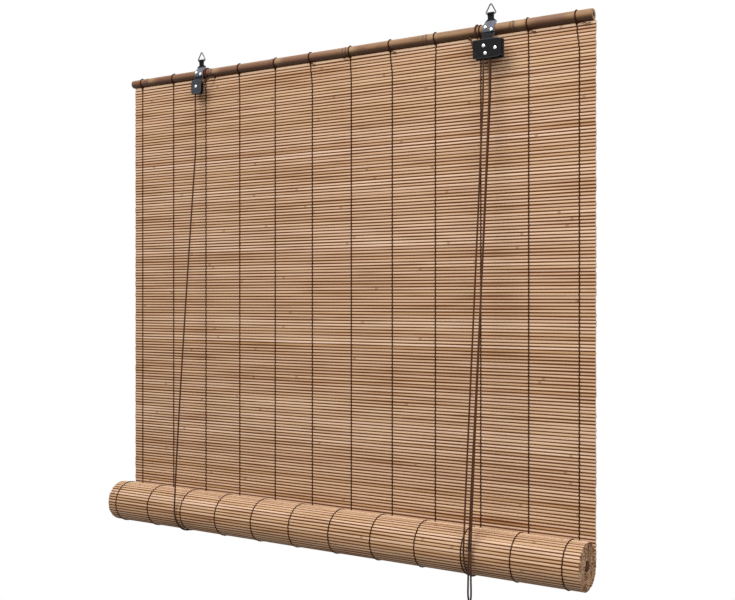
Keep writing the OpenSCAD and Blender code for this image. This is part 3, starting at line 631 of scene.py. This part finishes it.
def knot_coil(at, r, wraps, rise, n=20):
    """A small barrel knot: a helix of a few wraps, wider in the middle."""
    f = np.linspace(0, 1, int(n * wraps))
    rad = r * (0.75 + 0.25 * np.sin(np.pi * f))
    return np.asarray(at) + np.stack([rad * np.cos(TAU * wraps * f), rad * np.sin(TAU * wraps * f),
                                      rise * (0.5 - f)], 1)


tie_parts = []
for tag, x, up, tie_x, start, bow in LIFTS:
    a = sling_angle(up)
    foot = round_roll(x, np.array([a]))[0]
    shorten(cord(tag + "_front_leg", leg_route(up, foot, start, bow), [tag + "_front_leg"], "root"))
    cord(tag + "_sling", round_roll(x, np.linspace(a, TAU, 41)), [tag + "_sling"], "slings", (1, 0, 0))
    reach = rod_r(tie_x) + SEAT_GAP + TIE_REACH
    tie_z = ROD_Z - np.sqrt(reach ** 2 - BACK_Y ** 2)
    back_leg = np.linspace((x, BACK_Y, ROLL_Z), (tie_x, BACK_Y, tie_z), 25)
    shorten(cord(tag + "_back_leg", back_leg, [tag + "_back_leg"], "root"))
    turn = np.linspace(0, TAU, 49)[:-1]
    r = rod_r(tie_x) + SEAT_GAP + CORD_R
    ring = np.stack([np.full_like(turn, tie_x), r * np.cos(turn), ROD_Z + r * np.sin(turn)], 1)
    tie_parts += [tubes(ring, CORD_R, CORD_SIDES, (1, 0, 0), closed=True),
                  tubes(knot_coil((tie_x, BACK_Y, tie_z), 0.0014, 2.5, 0.0042), 0.0009, 8)]
piece("cord_ties", joined(*tie_parts), CORD, "root", ["cord_ties"])


def round_sheave(at, y, a0, a1, n):
    """Points of the cord's circle on a sheave, from one angle to another."""
    a = np.radians(np.linspace(a0, a1, n))
    return np.stack([at[0] + WRAP_R * np.cos(a), np.full(n, y), at[1] + WRAP_R * np.sin(a)], 1)


gap_z, behind_y = ROD_Z - 0.0092, BACK_Y + 0.002
left_end = round_sheave((-HANGER_X + AXLE_AT[0], AXLE_AT[1]), CHEEK_MID_Y, 180, 75, 9)
right_end = round_sheave((HANGER_X + SHEAVE_AT[0], SHEAVE_AT[1]), BACK_GROOVE_Y, 95, 0, 9)
# The crossing cord: up from the pulley, back through its notch, along behind the mat and out to the lock
left_notch = np.array([-HANGER_X, 0, gap_z]) + 0.0001 * np.array([
    [235, -85, -4], [272, -45, 7], [289, -12, 12], [295, 15, 12], [322, 44, 8]])
behind = [[x, behind_y, gap_z + rise] for x, rise in (
    (-HANGER_X + 0.038, 0.0001), (-0.11, -0.0015), (0, -0.002), (0.11, -0.0015), (HANGER_X - 0.04, -0.0006))]
right_notch = np.array([HANGER_X, 0, gap_z]) + 0.0001 * np.array([
    [-342, 44, 1], [-315, 15, 5], [-309, -12, 5], [-292, -45, 0], [-255, -85, -14]])
crossing = np.vstack([
    left_end, [-HANGER_X + 0.017, CHEEK_MID_Y + 0.0006, AXLE_AT[1] + 0.0065], left_notch, behind, right_notch,
    [HANGER_X - 0.018, BACK_GROOVE_Y + 0.001, SHEAVE_AT[1] + 0.009],
    [HANGER_X - 0.008, BACK_GROOVE_Y, SHEAVE_AT[1] + 0.0055], right_end])
cord("crossing_cord", smooth_path(crossing, 6), ["crossing_cord"], "root", (0.35, -0.2, 0.9))
cord("right_wrap", round_sheave((HANGER_X + SHEAVE_AT[0], SHEAVE_AT[1]), FRONT_GROOVE_Y, 180, 0, 25),
     ["right_wrap"], "root", (0, 1, 0))


# Slats

STATIONS = np.concatenate([[0, 0, 0.0008, 0.004], np.linspace(0.06, 0.94, 11), [0.996, 0.9992, 1, 1]])
AROUND = TAU * np.arange(12) / 12
# Height and wavelength of the slats' two sways along the mat and of their bow out of it
SWAYS, BOW = ((0.00005, 0.37), (0.00003, 0.16)), (0.00012, 0.43)
ENDS_IN = 0.0009  # the most by which an end falls short


def slat_bank(centres, out, along, seed, stations=STATIONS, cut=0.0, edge_stain_and_shade=1.0, darkened=0.0):
    """Slats side by side. Each is a rounded bar along X: its section's points go as
    cosine and sine to the power 0.7, its middle line wavers by two sines of its own, its
    ends close in over two rings, and cut takes a depth off its upper edge. Gives the
    surface, each point's slat tone, lower where darkened, how far towards the slat's edges
    it lies, times the share of the edges that is painted brown as staining and as shade
    between slats, and whether it is on a cut end."""
    draw = np.random.default_rng(seed)
    n = len(centres)
    half_w = PITCH / 2 * draw.uniform(1.035, 1.065, n)[:, None] - np.atleast_2d(cut) / 2
    half_t = SLAT_T / 2 * draw.uniform(0.88, 1.0, n)
    left, right = -MAT_HALF + draw.uniform(0, ENDS_IN, n), MAT_HALF - draw.uniform(0, ENDS_IN, n)
    x = left[:, None] + (right - left)[:, None] * stations
    taper = np.ones(len(stations))
    taper[[0, -1]], taper[[1, -2]] = 0.45, 0.78
    phase, size = draw.uniform(0, TAU, (n, 3)), draw.uniform(0.3, 1.0, (n, 3))
    waves = [high * size[:, [i]] * np.sin(TAU * x / long + phase[:, [i]])
             for i, (high, long) in enumerate((*SWAYS, BOW))]
    sway, bow = waves[0] + waves[1] - np.atleast_2d(cut) / 2, waves[2]
    c, s = np.cos(AROUND), np.sin(AROUND)
    w = (half_w * taper)[..., None] * np.sign(c) * np.abs(c) ** 0.7 + sway[..., None]
    t = half_t[:, None, None] * taper[:, None] * np.sign(s) * np.abs(s) ** 0.7 + bow[..., None]
    yz = centres[:, None, None] + w[..., None] * along[:, None, None] + t[..., None] * out[:, None, None]
    rings = np.concatenate([np.broadcast_to(x[:, :, None, None], (*w.shape, 1)), yz], -1)
    tone = np.broadcast_to(np.clip(draw.normal(0.5, 0.22, n) - darkened, 0, 1)[:, None, None], w.shape)
    # How much of each slat's edge is painted brown: staining and painted shade between slats
    edge_stain_and_shade = (edge_stain_and_shade * draw.uniform(0.9, 1.06, n))[:, None, None]
    edge = np.broadcast_to(edge_stain_and_shade * taper[:, None] * np.abs(c) ** 0.7, w.shape)
    end = np.broadcast_to((taper < 1)[:, None] * 1.0, w.shape)
    return skin(rings), {"tone": tone, "edge": edge, "cut": end}


# Notches of the top slat for the ties and for the crossing cord, as middle, half width and depth
NOTCHES = ((LEFT_TIE_X, 0.0011, 0.0008), (RIGHT_TIE_X, 0.0011, 0.0014),
           (-HANGER_X + 0.0292, 0.0013, 0.0008), (HANGER_X - 0.0312, 0.0013, 0.0014))
NOTCH_WALL = 0.0001  # run along X of a notch's sloping side


def hanging_slats():
    """The slats from the rod to the roll. The top one reaches up to the rod, with a notch
    for each cord that passes between the two. The first ones are darker, with fainter brown
    edges, as the rod's painted shadow."""
    z = MAT_TOP - PITCH * np.arange(HANG_SLATS) - SLAT_DROP
    centres = np.stack([0 * z, z], 1)
    out, along = np.tile([-1.0, 0.0], (HANG_SLATS, 1)), np.tile([0.0, 1.0], (HANG_SLATS, 1))
    edges = np.array([[x - w - NOTCH_WALL, x - w, x + w, x + w + NOTCH_WALL] for x, w, _ in NOTCHES])
    stations = np.sort(np.concatenate([STATIONS, edges.ravel() / (2 * MAT_HALF) + 0.5]))
    x = (stations - 0.5) * 2 * MAT_HALF
    cut = MAT_TOP - (ROD_Z - rod_r(x) - SEAT_GAP)
    for middle, half, depth in NOTCHES:
        cut = np.where(np.abs(x - middle) < half + NOTCH_WALL / 2, depth, cut)
    top, top_marks = slat_bank(centres[:1], out[:1], along[:1], 2, stations, cut)
    row = np.arange(1, HANG_SLATS)
    # The first slats' darker tone and fainter brown edges are the rod's painted shadow
    rest, rest_marks = slat_bank(centres[1:], out[1:], along[1:], 3,
                                 edge_stain_and_shade=np.interp(row, [0, 50], [0.93, 1.0]),
                                 darkened=np.interp(row, [4, 45], [0.3, 0.0]))
    marks = {k: np.concatenate([top_marks[k].ravel(), rest_marks[k].ravel()]) for k in rest_marks}
    return joined(top, rest), marks


surface, marks = hanging_slats()
shorten(piece("mat_slats", surface, SLATS, "root", ["mat"], marks))


def spiral(s, off=0.0):
    """Place and angle on the roll's spiral after a length s of mat from its core: the
    turns are (sqrt(core ** 2 + turn * s / pi) - core) / turn."""
    u = (np.sqrt(CORE_R ** 2 + TURN * np.maximum(s, 0) / np.pi) - CORE_R) / TURN
    a, r = TAU * (u - TURNS), CORE_R + TURN * u + off
    return np.stack([ROLL_Y + r * np.cos(a), ROLL_Z + r * np.sin(a)], -1), a


# The roll's slats have fainter brown edges on its top, as painted light, and brown ends
wound, angle = spiral(SPIRAL_LEN - PITCH * np.arange(ROLL_SLATS) - SLAT_DROP)
surface, marks = slat_bank(wound, np.stack([np.cos(angle), np.sin(angle)], 1),
                           np.stack([np.sin(angle), -np.cos(angle)], 1), 5,
                           edge_stain_and_shade=np.interp(angle, np.radians([-265, -215]), [0.64, 0.9]), darkened=0.12)
marks["edge"] = np.where(marks["cut"] > 0, 0.52, marks["edge"])
marks["cut"] = 0 * marks["cut"]
piece("roll_slats", surface, SLATS, "roll", ["roll"], marks)


# Warp threads

HITCH_R = THREAD_R + 0.0002


def thread_run(paths, p):
    """Threads along paths, thicker on a slat than between two: p counts the slats."""
    return tubes(paths, THREAD_R + 0.00012 + 0.0002 * np.cos(TAU * p), 6, (1, 0, 0))


def warp_face(side):
    """The twelve threads on one face of the mat: each steps out over a slat and in
    between two, as a cosine of its height, weaves from side to side, and comes in from
    its drift at the rod over the first eight slats."""
    p = np.linspace(-0.05, HANG_SLATS - 0.55, HANG_SLATS * 4)
    z = MAT_TOP - SLAT_DROP - PITCH * p
    y = side * (SLAT_T / 2 + 0.0002 + 0.00028 * np.cos(TAU * p))
    slack = np.cos(np.pi / 2 * np.clip(p / 8, 0, 1)) ** 2
    weave = 0.0003 * np.sin(np.pi * p + np.arange(WARPS)[:, None])
    x = WARP_X[:, None] + WARP_DRIFT[:, None] * slack + weave
    paths = np.stack([x, np.broadcast_to(y, x.shape), np.broadcast_to(z, x.shape)], -1)
    return thread_run(paths, p)


shorten(piece("warp_strings", joined(warp_face(-1), warp_face(1)), THREAD, "root", ["warp_strings"]))


def roll_threads():
    """The twelve threads round the outer turn of the roll, stepping over its slats."""
    s = np.linspace(SPIRAL_LEN - 0.187, SPIRAL_LEN - 0.0005, 190)
    p = (SPIRAL_LEN - s - SLAT_DROP) / PITCH
    yz, _ = spiral(s, SLAT_T / 2 + 0.0002 + 0.00018 * np.cos(TAU * p))
    x = WARP_X[:, None] + 0.00022 * np.sin(np.pi * p + np.arange(WARPS)[:, None])
    paths = np.concatenate([x[..., None], np.broadcast_to(yz, (WARPS, *yz.shape))], -1)
    return thread_run(paths, p)


piece("roll_strings", roll_threads(), THREAD, "roll", ["roll_strings"])


# Loose ends of threads, as thread, run along X and rise
LOOSE_ENDS = ((5, 0.009, -0.0022), (6, -0.012, 0.0004), (7, 0.01, -0.0026), (10, 0.011, -0.003),
              (11, 0.019, -0.0022))


def warp_hitches():
    """Each thread's loop at the rod: up from the back of the top slat, over the rod on a
    circle that it meets at a tangent, and down to the slat's front, with a small knot
    there and a loose end on some of them."""
    across = WARP_X + WARP_DRIFT
    r = rod_r(across) + SEAT_GAP + THREAD_R
    end_y, end_z = SLAT_T / 2 + 0.0003, MAT_TOP + 0.0002
    far = np.hypot(end_y, end_z - ROD_Z)
    leave = np.arctan2(end_z - ROD_Z, end_y) + np.arccos(np.minimum(1, r / far))
    a = leave[:, None] + (np.pi - 2 * leave[:, None]) * np.linspace(0, 1, 40)
    back, high, low = (np.full((WARPS, 1), value) for value in (end_y, end_z, end_z - 0.0012))
    y = np.concatenate([back, back, r[:, None] * np.cos(a), -back, -back], 1)
    z = np.concatenate([low, high, ROD_Z + r[:, None] * np.sin(a), high, low], 1)
    lean = np.random.default_rng(8).uniform(-0.0012, 0.0012, (WARPS, 1))
    x = across[:, None] + lean * np.sin(np.linspace(0, np.pi, y.shape[1]))
    loops = tubes(np.stack([x, y, z], -1), HITCH_R, 6, (1, 0, 0))
    at = np.stack([across, 0 * across - end_y - 0.0005, 0 * across + end_z], 1)
    coil = knot_coil((0, 0, 0), 0.0011, 2.5, 0.0034, 14)
    ends = []
    f = np.linspace(0, 1, 13)
    for i, run, rise in LOOSE_ENDS:
        ends.append(at[i] + np.stack([run * f, -0.0016 * np.sin(np.pi * f) - 0.0006 * f,
                                      rise * f + 0.0012 * np.sin(TAU * f)], 1))
    return joined(loops, tubes(at[:, None] + coil, HITCH_R, 6), tubes(np.stack(ends), THREAD_R, 5))


piece("warp_hitches", warp_hitches(), THREAD, "root", ["warp_loops"])


# Top rod

def cane():
    """A tapered cane turned round X: its radius is the taper plus, at each joint, a
    ridge with a groove beside it; the section is a little oval, turning along it."""
    x = np.sort(np.concatenate([np.linspace(ROD_X0 + 0.0012, ROD_X1 - 0.0012, 170)]
                               + [n + np.linspace(-0.006, 0.006, 17) for n in ROD_NODES]))
    d = x[:, None] - ROD_NODES
    ridge = np.exp(-(d / 0.0013) ** 2).sum(1)
    groove = np.exp(-((d - 0.0032) / 0.0011) ** 2).sum(1)
    r = rod_r(x) + 0.0005 * ridge - 0.00022 * groove
    ends = []
    for s, e in ((-1, ROD_X0), (1, ROD_X1)):
        ends.append([(e - s * BORE_DEPTH, BORE_R), (e - s * 0.0006, BORE_R),
                     (e - s * 0.0001, BORE_R + 0.0001), (e, BORE_R + 0.0004), (e, rod_r(e) - 0.0010),
                     (e - s * 0.0001, rod_r(e) - 0.0005), (e - s * 0.0004, rod_r(e) - 0.0002)])
    h, r = np.concatenate([ends[0], np.stack([x, r], 1), ends[1][::-1]]).T
    sides = 28
    a = TAU * np.arange(sides) / sides
    oval = 1 + 0.008 * np.sin(2 * a + 9 * h[:, None]) + 0.004 * np.sin(3 * a - 17 * h[:, None])
    rings = np.stack([np.broadcast_to(h[:, None], oval.shape), r[:, None] * oval * np.cos(a),
                      ROD_Z + r[:, None] * oval * np.sin(a)], -1)
    d = h[:, None] - ROD_NODES
    ring = np.exp(-((d - 0.0028) / 0.0014) ** 2).sum(1) + 0.8 * np.exp(-((d + 0.0022) / 0.001) ** 2).sum(1)
    collar = np.exp(-((d - 0.012) / 0.008) ** 2).sum(1)
    # The bore's inside takes the ring mark, so it is painted dark as shade
    inside = (r <= BORE_R + 0.00005) * 1.0
    cut = np.isin(h, (ROD_X0, ROD_X1)) * 1.0
    spread = np.ones(sides)
    # under runs from 0 on the cane's top to 1 underneath, for its painted highlight and painted shade
    return skin(rings[None]), {"ring": np.outer(np.clip(ring + inside, 0, 1), spread),
                               "collar": np.outer(np.clip(collar, 0, 1), spread),
                               "cut": np.outer(cut, spread),
                               "under": np.tile(0.5 - 0.5 * np.sin(a), (len(h), 1))}


surface, marks = cane()
piece("top_cane", surface, CANE, "root", ["top_rod"], marks)


# Hangers, pulley and cord lock

# How far the enamel is rubbed grey and painted with a highlight, and where the saddles are
SADDLE_RUB_AND_HIGHLIGHT, CHEEK_RUB_AND_HIGHLIGHT = 0.75, 0.24
SADDLE_Z = (-0.0378, -0.0218)
CURL_R = 0.00148  # of a strap's curl round its ring


def enamel_marks(rub_and_highlight):
    """A strip's wear and painted highlight, given for each ring, and its painted highlight on
    the rims: 1 on the rounded edges and at both ends, 0 on the flats."""
    rim = np.tile([1, 1, 1, 0, 0, 1, 1, 1], (len(rub_and_highlight), 2)).astype(float)
    rim[[0, -1]] = 1
    return {"rub_and_highlight": np.repeat(rub_and_highlight, 16), "rim": rim}


def strap(side, rivet_z):
    """A bent steel strap: a curl round the ring, a neck, a saddle over the front of
    the rod and a tab that leans out to carry the plates. Its width flares from the
    neck to the saddle."""
    x = side * HANGER_X
    r = rod_r(x + STRAP_W / 2) + SEAT_GAP + STRAP_T / 2
    curl = np.radians(np.linspace(-75, 235, 15))
    saddle = np.radians(np.linspace(112, 218, 13))
    tab_y, steps = PLATE_Y + STRAP_T / 2, 3
    neck = [[-0.0003, RING_Z - 0.0030], [-0.0001, RING_Z - 0.0055], [-0.0001, ROD_Z + r + 0.0028]]
    yz = smooth_path(np.vstack([
        np.stack([CURL_R * np.cos(curl), RING_Z + CURL_R * np.sin(curl)], 1), neck,
        np.stack([r * np.cos(saddle), ROD_Z + r * np.sin(saddle)], 1),
        [[LAP_Y + 0.0016, -0.0444], [tab_y, -0.0472], [tab_y, -0.0505], [tab_y, rivet_z - 0.003],
         [tab_y, rivet_z - 0.0054]]]), steps)
    z, above = yz[:, 1], np.arange(len(yz)) < steps * (len(curl) + len(neck))
    flare = np.interp(-z, [0.0145, 0.0165, 0.0205, 0.0216],
                      [NECK_W / 2, NECK_W * 0.48, NECK_W / 2, STRAP_W / 2])
    half = np.where(above, flare, STRAP_W / 2)
    half = np.where(z < ROD_Z - 0.0065, np.interp(-z, [0.0405, 0.046], [STRAP_W / 2, STRAP_W * 0.47]), half)
    path = np.column_stack([np.full(len(yz), x), yz])
    # The saddle's grey: wear and a painted highlight
    rub_and_highlight = np.where((z < SADDLE_Z[1]) & (z > SADDLE_Z[0]), SADDLE_RUB_AND_HIGHLIGHT, 0.0)
    return strip(path, (1, 0, 0), half, STRAP_T), enamel_marks(rub_and_highlight)


def plate(x0, x1, z, half_h, corner, y, rub_and_highlight, fold=None):
    """A steel plate with round corners: its half height at a distance d from an end is
    that of a quarter circle until d reaches the corner's radius. With a fold, its right
    end turns back through a quarter circle and runs on to the depth of the fold."""
    q = np.linspace(0, np.pi / 2, 7)
    d = corner * (1 - np.cos(q))
    rise = half_h - corner * (1 - np.sin(q))
    if fold is None:
        x = np.concatenate([x0 + d, (x1 - d)[::-1]])
        half = np.concatenate([rise, rise[::-1]])
        path = np.stack([x, np.full_like(x, y), np.full_like(x, z)], 1)
    else:
        bend, low, outer = 0.0012, half_h - corner, x1 - PLATE_T / 2
        a = np.linspace(0, np.pi / 2, 6)
        x = np.concatenate([x0 + d, [x1 - 0.006, x1 - 0.0035], outer - bend + bend * np.sin(a), [outer] * 2])
        ys = np.concatenate([np.full(9, y), y + bend - bend * np.cos(a), [y + fold * 0.6, y + fold]])
        half = np.concatenate([rise, [half_h, half_h - corner * 0.3], np.full(8, low)])
        path = np.stack([x, ys, np.full_like(x, z)], 1)
    return strip(path, (0, 0, 1), half, PLATE_T), enamel_marks(np.full(len(path), rub_and_highlight))


SHANK_R, DOME_R = 0.0015, 0.0024


def rivet(x, at, y_back, y_front):
    """A domed rivet turned round Y: a flat head behind, a shank and a dome in front."""
    span = y_back - y_front
    q = np.linspace(0, np.pi / 2, 9)[:-1]
    dome = np.stack([span + 0.0004 + 0.00095 * np.sin(q), DOME_R * np.cos(q) ** 0.8], 1)
    profile = np.vstack([[(-0.0008, 0.0019), (-0.0006, 0.0023), (-0.0001, 0.00243), (0, SHANK_R),
                          (span, SHANK_R), (span, DOME_R)], dome, [(span + 0.00135, 0.0002)]])
    return lathe(profile, (x + at[0], y_back, at[1]), (0, -1, 0), (1, 0, 0), 28)


def screw(x, deg, seat):
    """A pan-head screw square to the rod: a dome over a short edge, sunk along a cross
    where the distance to either arm is small and the middle is near."""
    a = np.radians(deg)
    axis, first = np.array([0, -np.cos(a), np.sin(a)]), np.array([1.0, 0, 0])
    second = np.cross(axis, first)
    rho = 0.001 * np.array([1.2, 1.2, 2.4, 2.4, 2.25, 1.9, 1.6, 1.3, 1, 0.7, 0.4, 0.15])
    high = 0.001 * np.array([-5, 0, 0, 0.6, 0.85, 1.1, 1.23, 1.32, 1.4, 1.45, 1.48, 1.5])
    turn = TAU * np.arange(40) / 40
    u, v = rho[:, None] * np.cos(turn), rho[:, None] * np.sin(turn)
    arm = np.minimum(np.abs(u), np.abs(v))
    sunk = np.clip((0.0005 - arm) / 0.00025, 0, 1) * np.clip((0.0015 - rho[:, None]) / 0.0002, 0, 1)
    h = high[:, None] - 0.0006 * sunk * (high[:, None] > 0.0012)
    centre = np.array([x, 0, ROD_Z]) + seat * axis
    return skin((centre + h[..., None] * axis + u[..., None] * first + v[..., None] * second)[None])


def wire_ring(side):
    """A triangle of bent wire: straight sides joined by arcs at the two base corners
    and at the top."""
    def arc(cx, cz, r, a0, a1):
        a = np.radians(np.linspace(a0, a1, 9))
        return np.stack([cx + r * np.cos(a), cz + r * np.sin(a)], 1)
    slope, low_r, top_r, wire_r = 23, 0.0016, 0.0014, 0.0009
    xz = np.vstack([np.linspace((-0.0052, 0), (0.0052, 0), 7), arc(0.0054, low_r, low_r, -90, slope),
                    arc(0, 0.0115, top_r, slope, 180 - slope), arc(-0.0054, low_r, low_r, 180 - slope, 270)])
    path = np.stack([side * HANGER_X + xz[:, 0], 0 * xz[:, 0], RING_Z + xz[:, 1]], 1)
    return tubes(path, wire_r, 12, (0, 1, 0), closed=True)


for tag, side, rivet_z in (("left", -1, AXLE_AT[1] - 0.004), ("right", 1, RIVET_TOP[1])):
    surface, marks = strap(side, rivet_z)
    piece(tag + "_strap", surface, ENAMEL, "root", [tag + "_strap"], marks)
    seat = rod_r(side * HANGER_X + STRAP_W / 2) + SEAT_GAP + STRAP_T
    screws = [screw(side * HANGER_X + s * SCREW_GAP / 2, d, seat) for s, d in zip((-1, 1), SCREW_DEG)]
    piece(tag + "_strap_screws", joined(*screws), NICKEL, "root", [tag + "_strap_screws"])
    piece(tag + "_ring", wire_ring(side), WIRE, tag + "_ring", [tag + "_ring"])

left, right = -HANGER_X + PLATE_SHIFT, HANGER_X + PLATE_SHIFT
back_y = PLATE_Y - PLATE_T / 2
cheek_y, lock_y = PLATE_Y - 1.5 * PLATE_T - CHEEK_CAVITY, PLATE_Y - 1.5 * PLATE_T - LOCK_CAVITY
for name, x, w, z, h, corner, y, rub_and_highlight, fold in (
        ("left_back_cheek", left, CHEEK_W, CHEEK_Z, CHEEK_H, CHEEK_CORNER, back_y, 0.0, None),
        ("left_front_cheek", left, CHEEK_W, CHEEK_Z, CHEEK_H, CHEEK_CORNER, cheek_y, CHEEK_RUB_AND_HIGHLIGHT, None),
        ("lock_back_plate", right, LOCK_W, LOCK_Z, LOCK_H, LOCK_CORNER, back_y, 0.0, None),
        ("lock_front_plate", right, LOCK_W, LOCK_Z, LOCK_H, LOCK_CORNER, lock_y, 0.0, LOCK_CAVITY + 0.0003)):
    surface, marks = plate(x - w / 2, x + w / 2, z, h / 2, corner, y, rub_and_highlight, fold)
    piece(name, surface, ENAMEL, "root", [name], marks)
cheek_front, lock_front = cheek_y - PLATE_T / 2, lock_y - PLATE_T / 2
axle = rivet(-HANGER_X, AXLE_AT, LAP_Y, cheek_front)
piece("left_axle", axle, NICKEL, "root", ["left_axle"])
rivets = [rivet(HANGER_X, at, y, lock_front)
          for at, y in ((RIVET_TOP, LAP_Y), (SHEAVE_AT, PLATE_Y), (CAM_AT, PLATE_Y))]
piece("lock_rivets", joined(*rivets), NICKEL, "root", ["lock_rivets"])

# The CAD's own meshes that are seen
for node, dressed in (("bottom_rod", DOWEL), ("left_sheave", NYLON), ("lock_sheave", NYLON),
                      ("lock_cam", ZINC)):
    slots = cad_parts[node].data.materials
    slots.clear()
    slots.append(dressed)


# Light, floor and background

def lamp(name, place, target, size, watts):
    """A soft square lamp that faces a target."""
    data = bpy.data.lights.new(name, "AREA")
    data.shape, data.size, data.energy = "SQUARE", size, watts
    obj = bpy.data.objects.new(name, data)
    way = np.asarray(target, float) - np.asarray(place, float)
    obj.location = place
    obj.rotation_euler = (np.arccos(-way[2] / np.linalg.norm(way)), 0, np.arctan2(way[0], -way[1]) + np.pi)
    bpy.context.scene.collection.objects.link(obj)


lamp("key", (-0.5, -1.9, 2.0), (0, 0, -0.4), 2.0, 98)
lamp("fill", (1.9, -1.7, 0.5), (0, 0, -0.45), 1.6, 36)
lamp("back", (0.6, 2.6, 1.2), (0, 0, -0.4), 1.6, 55)


def background():
    """White where the camera and mirrors look, and a softer white as light."""
    world = bpy.data.worlds.new("studio")
    bpy.context.scene.world = world
    world.use_nodes = True
    tree = world.node_tree
    soft = tree.nodes["Background"]
    soft.inputs["Color"].default_value, soft.inputs["Strength"].default_value = (1, 1, 1, 1), 0.22
    white = add(tree, "Background", {"Color": (1, 1, 1, 1), "Strength": 1.0})
    both = add(tree, "MixShader", {0: seen(tree), 1: soft.outputs[0], 2: white.outputs[0]})
    tree.links.new(both.outputs[0], tree.nodes["World Output"].inputs["Surface"])


FLOOR_HALF, FLOOR_Z = 6.0, -2.15


def floor():
    """A pale floor below the hooks, darker as a source of light, which fades into the
    background."""
    made = bpy.data.materials.new("pale_floor")
    made.use_nodes = True
    tree = made.node_tree
    shader = tree.nodes["Principled BSDF"]
    tone = between(tree, seen(tree), (0.3, 0.3, 0.3, 1), (0.9, 0.9, 0.89, 1))
    tree.links.new(tone, shader.inputs["Base Color"])
    shader.inputs["Roughness"].default_value = 0.8
    clear = add(tree, "BsdfTransparent")
    far = add(tree, "VectorMath", {0: own(tree)}, operation="LENGTH").outputs["Value"]
    fade = add(tree, "MixShader", {0: band(tree, far, 2.2, 4.5), 1: shader.outputs[0], 2: clear.outputs[0]})
    tree.links.new(fade.outputs[0], tree.nodes["Material Output"].inputs["Surface"])
    mesh = bpy.data.meshes.new("floor")
    corners = [(x * FLOOR_HALF, y * FLOOR_HALF, FLOOR_Z) for x, y in ((-1, -1), (1, -1), (1, 1), (-1, 1))]
    mesh.from_pydata(corners, [], [(0, 1, 2, 3)])
    mesh.materials.append(made)
    obj = bpy.data.objects.new("floor", mesh)
    bpy.context.scene.collection.objects.link(obj)


background()
floor()
bpy.context.scene.view_settings.view_transform = "Standard"
